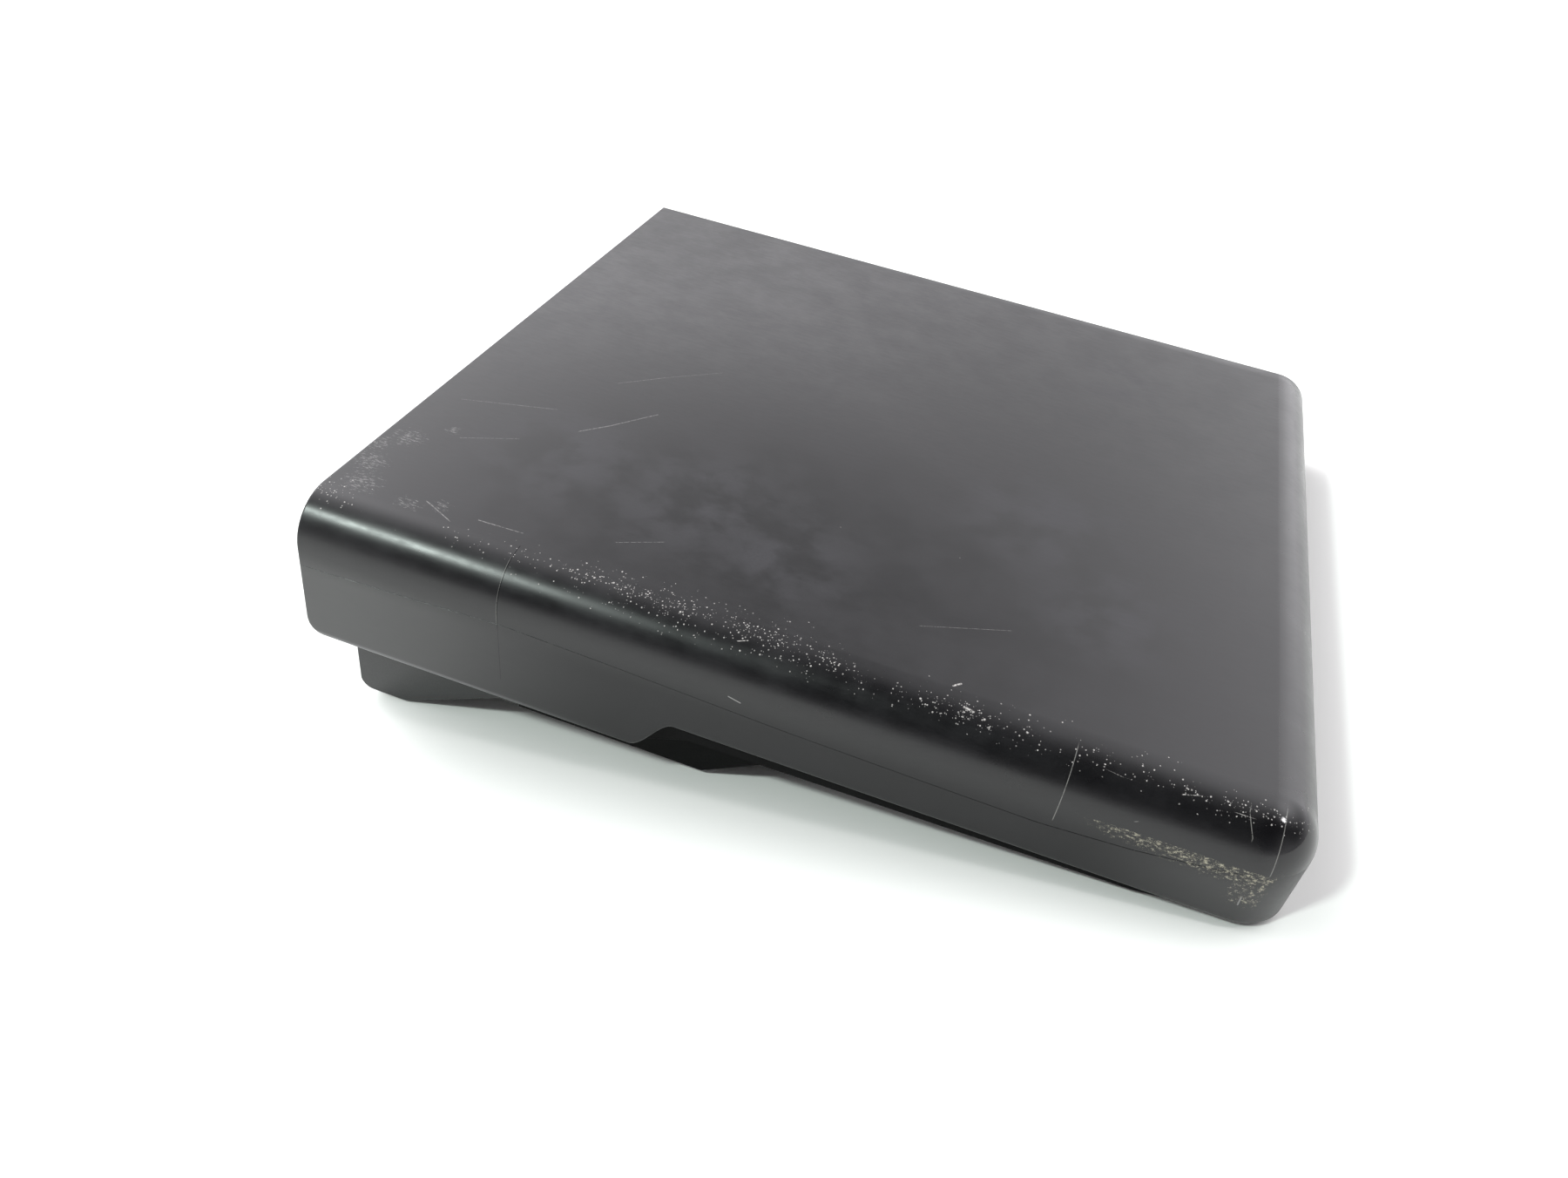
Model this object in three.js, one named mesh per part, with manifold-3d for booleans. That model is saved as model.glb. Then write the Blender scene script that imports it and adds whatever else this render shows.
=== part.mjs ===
// Compact standing desk converter, shown lowered: a filleted work surface with a
// skirt, closing over a shallow stepped base, with a single-stage scissor lift inside.
//
// Units are millimetres. Every piece is drawn in a deck frame: x runs from the high
// rear edge to the low front edge, y across from the user's left to the right, z is
// the normal of the work surface, and the surface itself is z = 0. The deck slopes by
// TILT towards the user, so the whole deck frame is turned by TILT about Y and set down
// on the table, which is Z = 0 of the part's own frame.
import * as THREE from 'three';
import { mergeVertices } from 'three/addons/utils/BufferGeometryUtils.js';
import Module from 'manifold-3d';

const wasm = await Module();
wasm.setup();

// ---- driving dimensions -------------------------------------------------------
const W = 330;                 // deck length, rear to front
const D = 303;                 // deck width
const TILT = 8.2 * Math.PI / 180;
const TABLE_Z = -87.67;        // height of the table line at x = 0, in the deck frame
const WALL = 3;                // shell wall
const FILLET = 16.5;           // fillet along the left and front top edges
const CORNER = 17.5;           // plan radius of the front left corner
const SKIRT_DEEP = 53.6;       // skirt depth at the rear
const SKIRT_LOW = 39.5;        // skirt depth from the step to the front
const STEP_A = 120.5;          // the skirt's step starts here ...
const STEP_B = 135.5;          // ... and ends here
const SKIRT_END_R = 5.5;       // rounding of the skirt's rear bottom corner
const GAP = 0.3;               // gap between pieces that touch

const SIDE = 9.9;              // base side wall, outer face
const BASE_WALL = 2.0;
const BASE_TOP = -24;          // top edge of the base walls
const BASE_X0 = 10.3;          // rear face of the base
const BASE_X1 = 307.4;         // front face of the base
const FOOT_SPLIT = 75;         // the rear foot meets the base pan here
// underside of the base from rear to front
const UNDER = [[29.6, -82.7], [67.1, -64.8], [144, -64.8], [168, -50.0], [BASE_X1, -42.3]];

const ARM = 264;               // scissor arm, pivot to pivot
const PIVOT_X = 32;            // both rear pivots
const TOP_Z = -12.5;           // pivots on the deck
const LOW_Z = -33;             // pivots on the base
const ARM_H = 12;              // bar height
const ARM_T = 3;               // bar thickness
const OUTER_Y = 25;            // outer arm, near face
const INNER_Y = 30;            // inner arm, near face
const AXLE_R = 4;
const HOLE = 0.3;              // radial clearance of a bore on these faceted solids

const theta0 = Math.asin((TOP_Z - LOW_Z) / ARM);
const reach = ARM * Math.cos(theta0);
const FRONT_X = PIVOT_X + reach;                       // both glides, lowered
const MID = [PIVOT_X + reach / 2, (TOP_Z + LOW_Z) / 2]; // crossing pivot

const tableZ = (x) => TABLE_Z + Math.tan(TILT) * x;

// ---- materials ------------------------------------------------------------------
const mat = (color, roughness, metalness = 0) =>
  new THREE.MeshStandardMaterial({ color, roughness, metalness });
const M = {
  shell: mat(0x3a3a3f, 0.48), black: mat(0x141415, 0.6), foot: mat(0x34353a, 0.5),
  steel: mat(0x8d9094, 0.35, 1), dark_steel: mat(0x2a2b2d, 0.45, 0.6),
  rubber: mat(0x1b1b1b, 0.9), nylon: mat(0xd8d6cf, 0.5), lining: mat(0x5b4a3c, 0.85),
};

// ---- geometry helpers -------------------------------------------------------------
const bare = (g) => {
  let h = g.index ? g.toNonIndexed() : g.clone();
  for (const k of Object.keys(h.attributes)) if (k !== 'position') h.deleteAttribute(k);
  h = mergeVertices(h, 1e-4);
  return h;
};
const solid = (g) => {
  const h = bare(g);
  return new wasm.Manifold(new wasm.Mesh({
    numProp: 3,
    vertProperties: new Float32Array(h.attributes.position.array),
    triVerts: new Uint32Array(h.index.array),
  }));
};
const geo = (m) => {
  const k = m.getMesh();
  const g = new THREE.BufferGeometry();
  g.setAttribute('position', new THREE.BufferAttribute(new Float32Array(k.vertProperties), 3));
  g.setIndex(new THREE.BufferAttribute(new Uint32Array(k.triVerts), 1));
  g.computeVertexNormals();
  return g;
};
const shapeOf = (pts, holes = [], n = 16) => {
  const s = new THREE.Shape(pts.map((p) => new THREE.Vector2(p[0], p[1])));
  for (const [hx, hy, hr] of holes) {
    const h = [];
    for (let i = 0; i < n; i++) {
      const a = -2 * Math.PI * i / n;
      h.push(new THREE.Vector2(hx + hr * Math.cos(a), hy + hr * Math.sin(a)));
    }
    s.holes.push(new THREE.Path(h));
  }
  return s;
};
// outline in x,z pushed along y
const plateXZ = (pts, holes, y0, y1) => {
  const g = new THREE.ExtrudeGeometry(shapeOf(pts, holes), { depth: y1 - y0, bevelEnabled: false });
  g.rotateX(Math.PI / 2);
  g.translate(0, y1, 0);
  return g;
};
// outline in y,z pushed along x
const plateYZ = (pts, holes, x0, x1) => {
  const g = new THREE.ExtrudeGeometry(shapeOf(pts, holes), { depth: x1 - x0, bevelEnabled: false });
  g.applyMatrix4(new THREE.Matrix4().makeBasis(
    new THREE.Vector3(0, 1, 0), new THREE.Vector3(0, 0, 1), new THREE.Vector3(1, 0, 0)));
  g.translate(x0, 0, 0);
  return g;
};
const box = (x0, x1, y0, y1, z0, z1) => {
  const g = new THREE.BoxGeometry(x1 - x0, y1 - y0, z1 - z0);
  g.translate((x0 + x1) / 2, (y0 + y1) / 2, (z0 + z1) / 2);
  return g;
};
const cylY = (x, z, r, y0, y1, n = 16) => {
  const g = new THREE.CylinderGeometry(r, r, y1 - y0, n);
  g.translate(x, (y0 + y1) / 2, z);
  return g;
};
const ringY = (x, z, r0, r1, y0, y1, n = 16) => {
  const out = [];
  for (let i = 0; i < n; i++) {
    const a = 2 * Math.PI * i / n;
    out.push([x + r1 * Math.cos(a), z + r1 * Math.sin(a)]);
  }
  return plateXZ(out, [[x, z, r0]], y0, y1);
};
const arc = (cx, cy, r, a0, a1, n) => {
  const out = [];
  for (let i = 0; i <= n; i++) {
    const a = (a0 + (a1 - a0) * i / n) * Math.PI / 180;
    out.push([cx + r * Math.cos(a), cy + r * Math.sin(a)]);
  }
  return out;
};
// open polyline moved sideways by d, with mitred corners; left of travel is positive
const offset = (pts, d) => {
  const seg = [];
  for (let i = 0; i + 1 < pts.length; i++) {
    const dx = pts[i + 1][0] - pts[i][0], dy = pts[i + 1][1] - pts[i][1];
    const l = Math.hypot(dx, dy);
    seg.push({ p: [pts[i][0] - d * dy / l, pts[i][1] + d * dx / l], u: [dx / l, dy / l], l });
  }
  const out = [seg[0].p];
  for (let i = 0; i + 1 < seg.length; i++) {
    const a = seg[i], b = seg[i + 1];
    const den = a.u[0] * b.u[1] - a.u[1] * b.u[0];
    const t = ((b.p[0] - a.p[0]) * b.u[1] - (b.p[1] - a.p[1]) * b.u[0]) / den;
    out.push([a.p[0] + t * a.u[0], a.p[1] + t * a.u[1]]);
  }
  const e = seg[seg.length - 1];
  out.push([e.p[0] + e.u[0] * e.l, e.p[1] + e.u[1] * e.l]);
  return out;
};
// closed coil of round wire about a line along y
const coil = (x, z, r, wire, y0, y1, turns, steps = 14, sides = 6) => {
  class Helix extends THREE.Curve {
    getPoint(t, target = new THREE.Vector3()) {
      const a = 2 * Math.PI * turns * t;
      return target.set(x + r * Math.cos(a), y0 + (y1 - y0) * t, z + r * Math.sin(a));
    }
  }
  const section = new THREE.Shape(arc(0, 0, wire, 0, 360 - 360 / sides, sides - 1)
    .map((p) => new THREE.Vector2(p[0], p[1])));
  return new THREE.ExtrudeGeometry(section, {
    steps: Math.round(turns * steps), bevelEnabled: false, extrudePath: new Helix(),
  });
};

// ---- scene graph ----------------------------------------------------------------------
const part = new THREE.Group();
const deckFrame = new THREE.Group();
const CENTRE_X = 158.7788;      // puts the origin at the centre of the outer box
deckFrame.rotation.y = TILT;
deckFrame.position.set(-CENTRE_X, -D / 2, -TABLE_Z * Math.cos(TILT));
part.add(deckFrame);

const add = (name, g, material) => {
  const m = new THREE.Mesh(g, material);
  m.name = name;
  deckFrame.add(m);
  return m;
};
const mirrorY = (y0, y1) => [D - y1, D - y0];

// ---- worktop shell ----------------------------------------------------------------
// rings of the plan outline, from the floor of the skirt up over the fillet
const shellBlock = (inset, fillet, corner, x0, y1, zTop, zBottom, n) => {
  const rings = [];
  const ring = (i, z) => {
    const c = corner - i, cx = W - CORNER, cy = CORNER;
    const pts = [[x0, y1], [x0, inset + i]];
    for (const p of arc(cx, cy, c, -90, 0, n)) pts.push(p);
    pts.push([W - inset - i, y1]);
    rings.push(pts.map((p) => [p[0], p[1], z]));
  };
  ring(0, zBottom);
  for (let k = 0; k <= n; k++) {
    const a = (Math.PI / 2) * k / n;
    ring(fillet * (1 - Math.cos(a)), zTop - fillet + fillet * Math.sin(a));
  }
  const m = rings[0].length, pos = [], idx = [];
  for (const r of rings) for (const p of r) pos.push(...p);
  for (let k = 0; k + 1 < rings.length; k++) {
    for (let i = 0; i < m; i++) {
      const a = k * m + i, b = k * m + (i + 1) % m;
      idx.push(a, b, b + m, a, b + m, a + m);
    }
  }
  // caps, as fans over the outline
  const fan = (base, flip) => {
    const f = THREE.ShapeUtils.triangulateShape(
      rings[base / m].map((p) => new THREE.Vector2(p[0], p[1])), []);
    for (const [a, b, c] of f) {
      if (flip) idx.push(base + a, base + c, base + b);
      else idx.push(base + a, base + b, base + c);
    }
  };
  fan(0, true);
  fan((rings.length - 1) * m, false);
  const g = new THREE.BufferGeometry();
  g.setAttribute('position', new THREE.BufferAttribute(new Float32Array(pos), 3));
  g.setIndex(idx);
  return g;
};

// side skirt outline seen from the left: rounded rear corner, deep part, S-step, low part
const skirtEdge = [];
{
  for (const p of arc(SKIRT_END_R, -SKIRT_DEEP + SKIRT_END_R, SKIRT_END_R, 180, 270, 5)) skirtEdge.push(p);
  const n = 8;
  for (let i = 0; i <= n; i++) {
    const t = i / n, s = t * t * (3 - 2 * t);
    skirtEdge.push([STEP_A + (STEP_B - STEP_A) * t, -SKIRT_DEEP + (SKIRT_DEEP - SKIRT_LOW) * s]);
  }
}
{
  const outer = solid(shellBlock(0, FILLET, CORNER, 0, D, 0, -60, 8));
  const inner = solid(shellBlock(WALL, FILLET - WALL, CORNER - WALL, -5, D + 5, -WALL, -65, 8));
  const below = [[-10, -80], [W + 10, -80], [W + 10, -SKIRT_LOW],
    ...skirtEdge.slice().reverse(), [-10, skirtEdge[0][1]]];
  const cut = solid(plateXZ(below, [], -10, D + 10));
  add('worktop_shell', geo(outer.subtract(inner).subtract(cut)), M.shell);
}

// flat plates that close the two square ends of the shell, tucked under its skin
{
  const y0 = WALL + GAP, y1 = D - WALL - 2 * GAP, z1 = -WALL - GAP, r = FILLET - WALL;
  const pts = [[y0, -49.5], [y1, -49.5], [y1, z1], ...arc(y0 + r, z1 - r, r, 90, 180, 6)];
  add('rear_end_cap', plateYZ(pts, [], GAP, GAP + WALL), M.shell);
}
{
  const x1 = W - WALL - GAP, z1 = -WALL - GAP, r = FILLET - WALL, lift = 0.2;
  const edge = skirtEdge.map((p) => [Math.max(p[0], 0) + GAP, p[1] + lift]);
  const pts = [...edge, [x1, -SKIRT_LOW + lift], ...arc(x1 - r, z1 - r, r, 0, 90, 6), [GAP, z1]];
  add('side_end_cap', plateXZ(pts, [], D - WALL - GAP, D - GAP), M.shell);
}

// black lips fixed inside both side skirts, a little deeper than the skirt's edge
const lip = [[60, -54.2], [119.5, -54.2], [131, -49.8], [139, -46.6], [175, -45.9], [231, -45.1], [286, -44.0], [312, -40.0]];
{
  const pts = [...lip, [312, -17], [60, -17]];
  add('inner_lip_left', plateXZ(pts, [], WALL + 0.6, WALL + 2.8), M.black);
  add('inner_lip_right', plateXZ(pts, [], D - WALL - 2.8, D - WALL - 0.6), M.black);
}

// steel panel bonded under the skin; it carries the rails and the pivot brackets
add('underframe_panel', box(3.7, 312, 16.8, D - 3.8, -5.0, -WALL - 0.4), M.dark_steel);

const RAIL_X0 = 115, RAIL_Y0 = 13, RAIL_Y1 = 23, RAIL_T = 1.6, RAIL_H = 14.4;
const channel = (zc, mirrored) => {
  const h = RAIL_H / 2, t = RAIL_T;
  const p = [[RAIL_Y0, zc - h], [RAIL_Y1, zc - h], [RAIL_Y1, zc - h + t], [RAIL_Y0 + t, zc - h + t],
    [RAIL_Y0 + t, zc + h - t], [RAIL_Y1, zc + h - t], [RAIL_Y1, zc + h], [RAIL_Y0, zc + h]];
  return mirrored ? p.map(([y, z]) => [D - y, z]).reverse() : p;
};
add('top_rail_left', plateYZ(channel(TOP_Z, false), [], RAIL_X0, 309), M.steel);
add('top_rail_right', plateYZ(channel(TOP_Z, true), [], RAIL_X0, 309), M.steel);

const earDeck = [[18, -5.3], [20, -14], ...arc(PIVOT_X, TOP_Z, 7.2, 200, 340, 8), [44, -14], [46, -5.3]];
for (const [side, y] of [['left', [18, 21]], ['right', mirrorY(18, 21)]]) {
  add(`deck_bracket_${side}`, plateXZ(earDeck, [[PIVOT_X, TOP_Z, AXLE_R + HOLE]], y[0], y[1]), M.steel);
  const c = side === 'left' ? [15.8, 17.2] : mirrorY(15.8, 17.2);
  add(`upper_axle_clip_${side}`, ringY(PIVOT_X, TOP_Z, AXLE_R + HOLE, 6.6, c[0], c[1], 12), M.dark_steel);
}
add('upper_rear_axle', cylY(PIVOT_X, TOP_Z, AXLE_R, 14.6, D - 14.6), M.steel);

// ---- base ---------------------------------------------------------------------------
// closed outlines of the tray: rear wall, rounded heel, underside, front wall
const tray = (x0, x1) => {
  const heel = arc(16.3, -77.7, 5, 190, 270, 5);
  const line = [[BASE_X0, BASE_TOP], ...heel, ...UNDER, [BASE_X1, BASE_TOP]];
  const inset = offset(line, BASE_WALL);
  const yA = SIDE, yB = D - SIDE;
  const outerPts = [...line];
  const innerPts = [[inset[0][0], BASE_TOP + 5], ...inset.slice(1, -1), [inset[inset.length - 1][0], BASE_TOP + 5]];
  const o = solid(plateXZ(outerPts, [], yA, yB));
  const i = solid(plateXZ(innerPts, [], yA + BASE_WALL, yB - BASE_WALL));
  const keep = solid(box(x0, x1, 0, D, -100, 0));
  return o.subtract(i).intersect(keep);
};
const LEVER = [58, -60];
{
  let foot = tray(0, FOOT_SPLIT);
  foot = foot.subtract(solid(cylY(LEVER[0], LEVER[1], 3 + HOLE, 285, 296, 12)));
  for (const y of [60, D - 60]) foot = foot.subtract(solid(
    new THREE.CylinderGeometry(1.9, 1.9, 12, 10).rotateX(Math.PI / 2).translate(72, y, -63)));
  add('rear_foot', geo(foot), M.foot);
  let pan = tray(FOOT_SPLIT + GAP, 320);
  for (const y of [60, D - 60]) pan = pan.subtract(solid(
    new THREE.CylinderGeometry(1.9, 1.9, 12, 10).rotateX(Math.PI / 2).translate(86, y, -63)));
  add('base_pan', geo(pan), M.black);
  let plate = solid(box(69.2, 92, 20, D - 20, -62.1, -60.1));
  for (const x of [72, 86]) for (const y of [60, D - 60]) plate = plate.subtract(solid(
    new THREE.CylinderGeometry(1.9, 1.9, 12, 10).rotateX(Math.PI / 2).translate(x, y, -61)));
  add('base_joint_plate', geo(plate), M.steel);
  let k = 1;
  for (const x of [72, 86]) for (const y of [60, D - 60]) {
    const prof = [[0, -64.4], [1.6, -64.4], [1.6, -59.8], [3.4, -59.8], [3.2, -58.6], [2.2, -57.9], [0, -57.7]];
    const g = new THREE.LatheGeometry(prof.map((p) => new THREE.Vector2(p[0], p[1])), 10);
    g.rotateX(Math.PI / 2);
    g.translate(x, y, 0);
    add(`joint_screw_${k++}`, g, M.steel);
  }
}
add('base_rail_left', plateYZ(channel(LOW_Z, false), [], RAIL_X0, 304.2), M.steel);
add('base_rail_right', plateYZ(channel(LOW_Z, true), [], RAIL_X0, 304.2), M.steel);

const earBase = [[15, -79.9], [29.4, -79.9], [46, -71.9], [46, -58], [40.5, -36],
  ...arc(PIVOT_X, LOW_Z, 8, 0, 150, 8), [18, -50]];
for (const [side, y] of [['left', [18, 21]], ['right', mirrorY(18, 21)]]) {
  add(`rear_bracket_${side}`, plateXZ(earBase, [[PIVOT_X, LOW_Z, AXLE_R + HOLE]], y[0], y[1]), M.steel);
  const c = side === 'left' ? [15.8, 17.2] : mirrorY(15.8, 17.2);
  add(`lower_axle_clip_${side}`, ringY(PIVOT_X, LOW_Z, AXLE_R + HOLE, 6.6, c[0], c[1], 12), M.dark_steel);
}
add('lower_rear_axle', cylY(PIVOT_X, LOW_Z, AXLE_R, 14.6, D - 14.6), M.steel);

// rubber feet: their top follows the base, their bottom is the table plane
const underZ = (x) => {
  const a = UNDER[3], b = UNDER[4];
  return a[1] + (b[1] - a[1]) * (x - a[0]) / (b[0] - a[0]);
};
for (const [side, y] of [['left', [26, 66]], ['right', mirrorY(26, 66)]]) {
  add(`rubber_foot_rear_${side}`, plateXZ(
    [[16.8, tableZ(16.8)], [28.8, tableZ(28.8)], [28.8, -82.7 - 0.25], [16.8, -82.7 - 0.25]], [], y[0], y[1]), M.rubber);
}
for (const [side, y] of [['left', [26, 50]], ['right', mirrorY(26, 50)]]) {
  add(`rubber_foot_front_${side}`, plateXZ(
    [[276, tableZ(276)], [300, tableZ(300)], [300, underZ(300) - GAP], [276, underZ(276) - GAP]], [], y[0], y[1]), M.rubber);
}

// counterbalance springs and their anchors on the lower axle
add('torsion_spring_left', coil(PIVOT_X, LOW_Z, 7.4, 1.2, 30.4, 45.6, 5), M.steel);
add('torsion_spring_right', coil(PIVOT_X, LOW_Z, 7.4, 1.2, D - 57.4, D - 42.2, 5), M.steel);
add('spring_anchor_left', ringY(PIVOT_X, LOW_Z, AXLE_R + HOLE, 9, 47.8, 51.8), M.dark_steel);
add('spring_anchor_right', ringY(PIVOT_X, LOW_Z, AXLE_R + HOLE, 9, D - 63.6, D - 59.6), M.dark_steel);

// ---- scissor arms -------------------------------------------------------------------
const bar = (from, to, holes, y0, y1) => {
  const a = Math.atan2(to[1] - from[1], to[0] - from[0]) * 180 / Math.PI;
  const r = ARM_H / 2 + 0.4;
  const pts = [...arc(from[0], from[1], r, a + 90, a + 270, 8), ...arc(to[0], to[1], r, a - 90, a + 90, 8)];
  return plateXZ(pts, holes, y0, y1);
};
const LOW_REAR = [PIVOT_X, LOW_Z], TOP_REAR = [PIVOT_X, TOP_Z];
const TOP_FRONT = [FRONT_X, TOP_Z], LOW_FRONT = [FRONT_X, LOW_Z];
const along = (s, sign) => [MID[0] + s * Math.cos(theta0), MID[1] + sign * s * Math.sin(theta0)];
const PIN_R = 3;
const SP = [90, 55];            // spreader distance from the crossing, outer and inner pair

const spreader = (p, y0, y1) => cylY(p[0], p[1], 4.5, y0, y1, 14);
for (const side of ['left', 'right']) {
  const oy = side === 'left' ? [OUTER_Y, OUTER_Y + ARM_T] : mirrorY(OUTER_Y, OUTER_Y + ARM_T);
  const iy = side === 'left' ? [INNER_Y, INNER_Y + ARM_T] : mirrorY(INNER_Y, INNER_Y + ARM_T);
  add(`outer_arm_${side}`, bar(LOW_REAR, TOP_FRONT, [
    [...LOW_REAR, AXLE_R + HOLE], [...MID, PIN_R + HOLE], [...TOP_FRONT, AXLE_R + HOLE]], oy[0], oy[1]), M.dark_steel);
  add(`inner_arm_${side}`, bar(TOP_REAR, LOW_FRONT, [
    [...TOP_REAR, AXLE_R + HOLE], [...MID, PIN_R + HOLE], [...LOW_FRONT, AXLE_R + HOLE]], iy[0], iy[1]), M.dark_steel);
  // crossing pin with a flat head at each end, turned as one piece
  const prof = [[0, 0], [5, 0], [5, 1.1], [PIN_R, 1.1], [PIN_R, 9.9], [5, 9.9], [5, 11.2], [0, 11.2]];
  const g = new THREE.LatheGeometry(prof.map((p) => new THREE.Vector2(p[0], p[1])), 16);
  if (side === 'left') g.translate(MID[0], 23.5, MID[1]);
  else g.rotateX(Math.PI).translate(MID[0], D - 23.5, MID[1]);
  add(`crossing_pin_${side}`, g, M.steel);
}
const oIn = OUTER_Y + ARM_T + GAP, iIn = INNER_Y + ARM_T + GAP;
add('outer_spreader_rear', spreader(along(-SP[0], 1), oIn, D - oIn), M.dark_steel);
add('outer_spreader_front', spreader(along(SP[0], 1), oIn, D - oIn), M.dark_steel);
add('inner_spreader_rear', spreader(along(-SP[1], -1), iIn, D - iIn), M.dark_steel);
add('inner_spreader_front', spreader(along(SP[1], -1), iIn, D - iIn), M.dark_steel);

// ---- glides ---------------------------------------------------------------------------
for (const [tag, z] of [['upper', TOP_Z], ['lower', LOW_Z]]) {
  add(`${tag}_glide_shaft`, cylY(FRONT_X, z, AXLE_R, 15.2, D - 15.2), M.steel);
  for (const side of ['left', 'right']) {
    const y = side === 'left' ? [15.0, 22.6] : mirrorY(15.0, 22.6);
    const pts = [[FRONT_X - 8, z - 4.3], [FRONT_X - 7, z - 5.3], [FRONT_X + 7, z - 5.3], [FRONT_X + 8, z - 4.3],
      [FRONT_X + 8, z + 4.3], [FRONT_X + 7, z + 5.3], [FRONT_X - 7, z + 5.3], [FRONT_X - 8, z + 4.3]];
    add(`${tag}_glide_${side}`, plateXZ(pts, [[FRONT_X, z, AXLE_R + HOLE]], y[0], y[1]), M.nylon);
  }
}

// ---- height brake ---------------------------------------------------------------------
// drum on the right outer arm; shoe on a sprung arm; lever outside the right base wall
add('brake_drum', ringY(PIVOT_X, LOW_Z, AXLE_R + HOLE, 13, D - 38.4, D - 28.4, 28), M.dark_steel);
{
  const pts = [...arc(PIVOT_X, LOW_Z, 17.3, 230, 290, 8), ...arc(PIVOT_X, LOW_Z, 13.4, 290, 230, 8)];
  add('brake_shoe', plateXZ(pts, [], D - 38, D - 29), M.lining);
}
{
  const y0 = D - 36.5, y1 = D - 32;
  const hub = solid(cylY(LEVER[0], LEVER[1], 5.6, y0, y1, 20));
  const beam = solid(plateXZ([[20, -51.2], [20, -55], [52, -64.2], [60, -64.2], [62, -56.5], [44, -51.2]], [], y0, y1));
  const hole = solid(cylY(LEVER[0], LEVER[1], 3 + HOLE, y0 - 1, y1 + 1, 14));
  add('brake_arm', geo(hub.add(beam).subtract(hole)), M.steel);
}
add('lever_shaft', cylY(LEVER[0], LEVER[1], 3, D - 58, D - 2.4, 14), M.steel);
{
  const y0 = D - 9.3, y1 = D - 3.9;
  const hub = solid(cylY(LEVER[0], LEVER[1], 5.2, y0, y1, 20));
  const beam = solid(plateXZ([[34, -56.4], [34, -63.6], [58, -65.1], [58, -55.4]], [], y0, y1));
  const pad = solid(plateXZ([...arc(20, -66.5, 3, 180, 270, 4), ...arc(33, -66.5, 3, 270, 360, 4),
    ...arc(33, -58.8, 3, 0, 90, 4), ...arc(20, -58.8, 3, 90, 180, 4)], [], y0, y1 + 1.6));
  const hole = solid(cylY(LEVER[0], LEVER[1], 3 + HOLE, y0 - 1, y1 + 3, 14));
  add('release_lever', geo(hub.add(beam).add(pad).subtract(hole)), M.foot);
}
add('lever_bearing', plateXZ([[51, -69.3], [65, -62.7], [65, -54], [51, -54]],
  [[...LEVER, 3 + HOLE]], D - 57, D - 53), M.steel);
add('lever_spring', coil(LEVER[0], LEVER[1], 4.5, 0.7, D - 51.6, D - 38.6, 5, 12, 6), M.steel);

export default part;
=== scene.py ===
import bpy, bmesh, math
from mathutils import Matrix, Vector


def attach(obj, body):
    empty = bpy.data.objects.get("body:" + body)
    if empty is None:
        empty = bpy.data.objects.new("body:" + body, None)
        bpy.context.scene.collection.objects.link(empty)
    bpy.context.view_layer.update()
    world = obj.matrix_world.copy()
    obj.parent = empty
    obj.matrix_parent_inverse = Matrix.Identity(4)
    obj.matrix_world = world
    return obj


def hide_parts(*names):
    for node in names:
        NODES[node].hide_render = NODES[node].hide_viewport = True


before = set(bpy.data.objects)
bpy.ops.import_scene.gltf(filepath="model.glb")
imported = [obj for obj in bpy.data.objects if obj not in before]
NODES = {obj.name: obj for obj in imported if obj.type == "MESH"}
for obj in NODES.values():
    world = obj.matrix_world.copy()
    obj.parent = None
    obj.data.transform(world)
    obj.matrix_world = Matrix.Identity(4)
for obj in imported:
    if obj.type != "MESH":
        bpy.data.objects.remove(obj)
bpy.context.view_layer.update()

# ---- the deck frame: x rear to front, y left to right, z normal of the work surface, mm ----
W, D = 330.0, 303.0
TILT = math.radians(8.2)
TABLE_Z = -87.67
CENTRE_X = 158.7788
ROT = Matrix.Rotation(TILT, 4, "Y")
TO_ROW = (Matrix.Translation(Vector((-CENTRE_X, -D / 2, -TABLE_Z * math.cos(TILT))) / 1000)
          @ ROT @ Matrix.Scale(0.001, 4))
WALL, FILLET, CORNER = 3.0, 16.5, 17.5
SKIRT_DEEP, SKIRT_LOW = 53.6, 39.5
STEP_A, STEP_B, END_R = 120.5, 135.5, 5.5
SIDE, BASE_X0, BASE_X1, BASE_TOP = 9.9, 10.3, 307.4, -24.0
ARM, PIVOT_X, TOP_Z, LOW_Z = 264.0, 32.0, -12.5, -33.0
THETA0 = math.asin((TOP_Z - LOW_Z) / ARM)
FRONT_X = PIVOT_X + ARM * math.cos(THETA0)
MID = (PIVOT_X + ARM * math.cos(THETA0) / 2, (TOP_Z + LOW_Z) / 2)
COS = math.cos


# ---- camera -------------------------------------------------------------------------------
cam_data = bpy.data.cameras.new("camera")
cam = bpy.data.objects.new("camera", cam_data)
bpy.context.scene.collection.objects.link(cam)
cam_data.sensor_width = 36.0
cam_data.lens = 27.519
cam_data.clip_start, cam_data.clip_end = 0.01, 50
cam.matrix_world = Matrix((
    (0.9489776732867186, -0.18917857129874016, 0.25229515208321657, 0.09214786902751343),
    (0.3153194967762614, 0.5594381229862526, -0.7665524127562207, -0.41018122046672406),
    (0.003871763950858072, 0.8069947055036888, 0.590545980202154, 0.2922100697697143),
    (0, 0, 0, 1)))
bpy.context.scene.camera = cam


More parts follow.
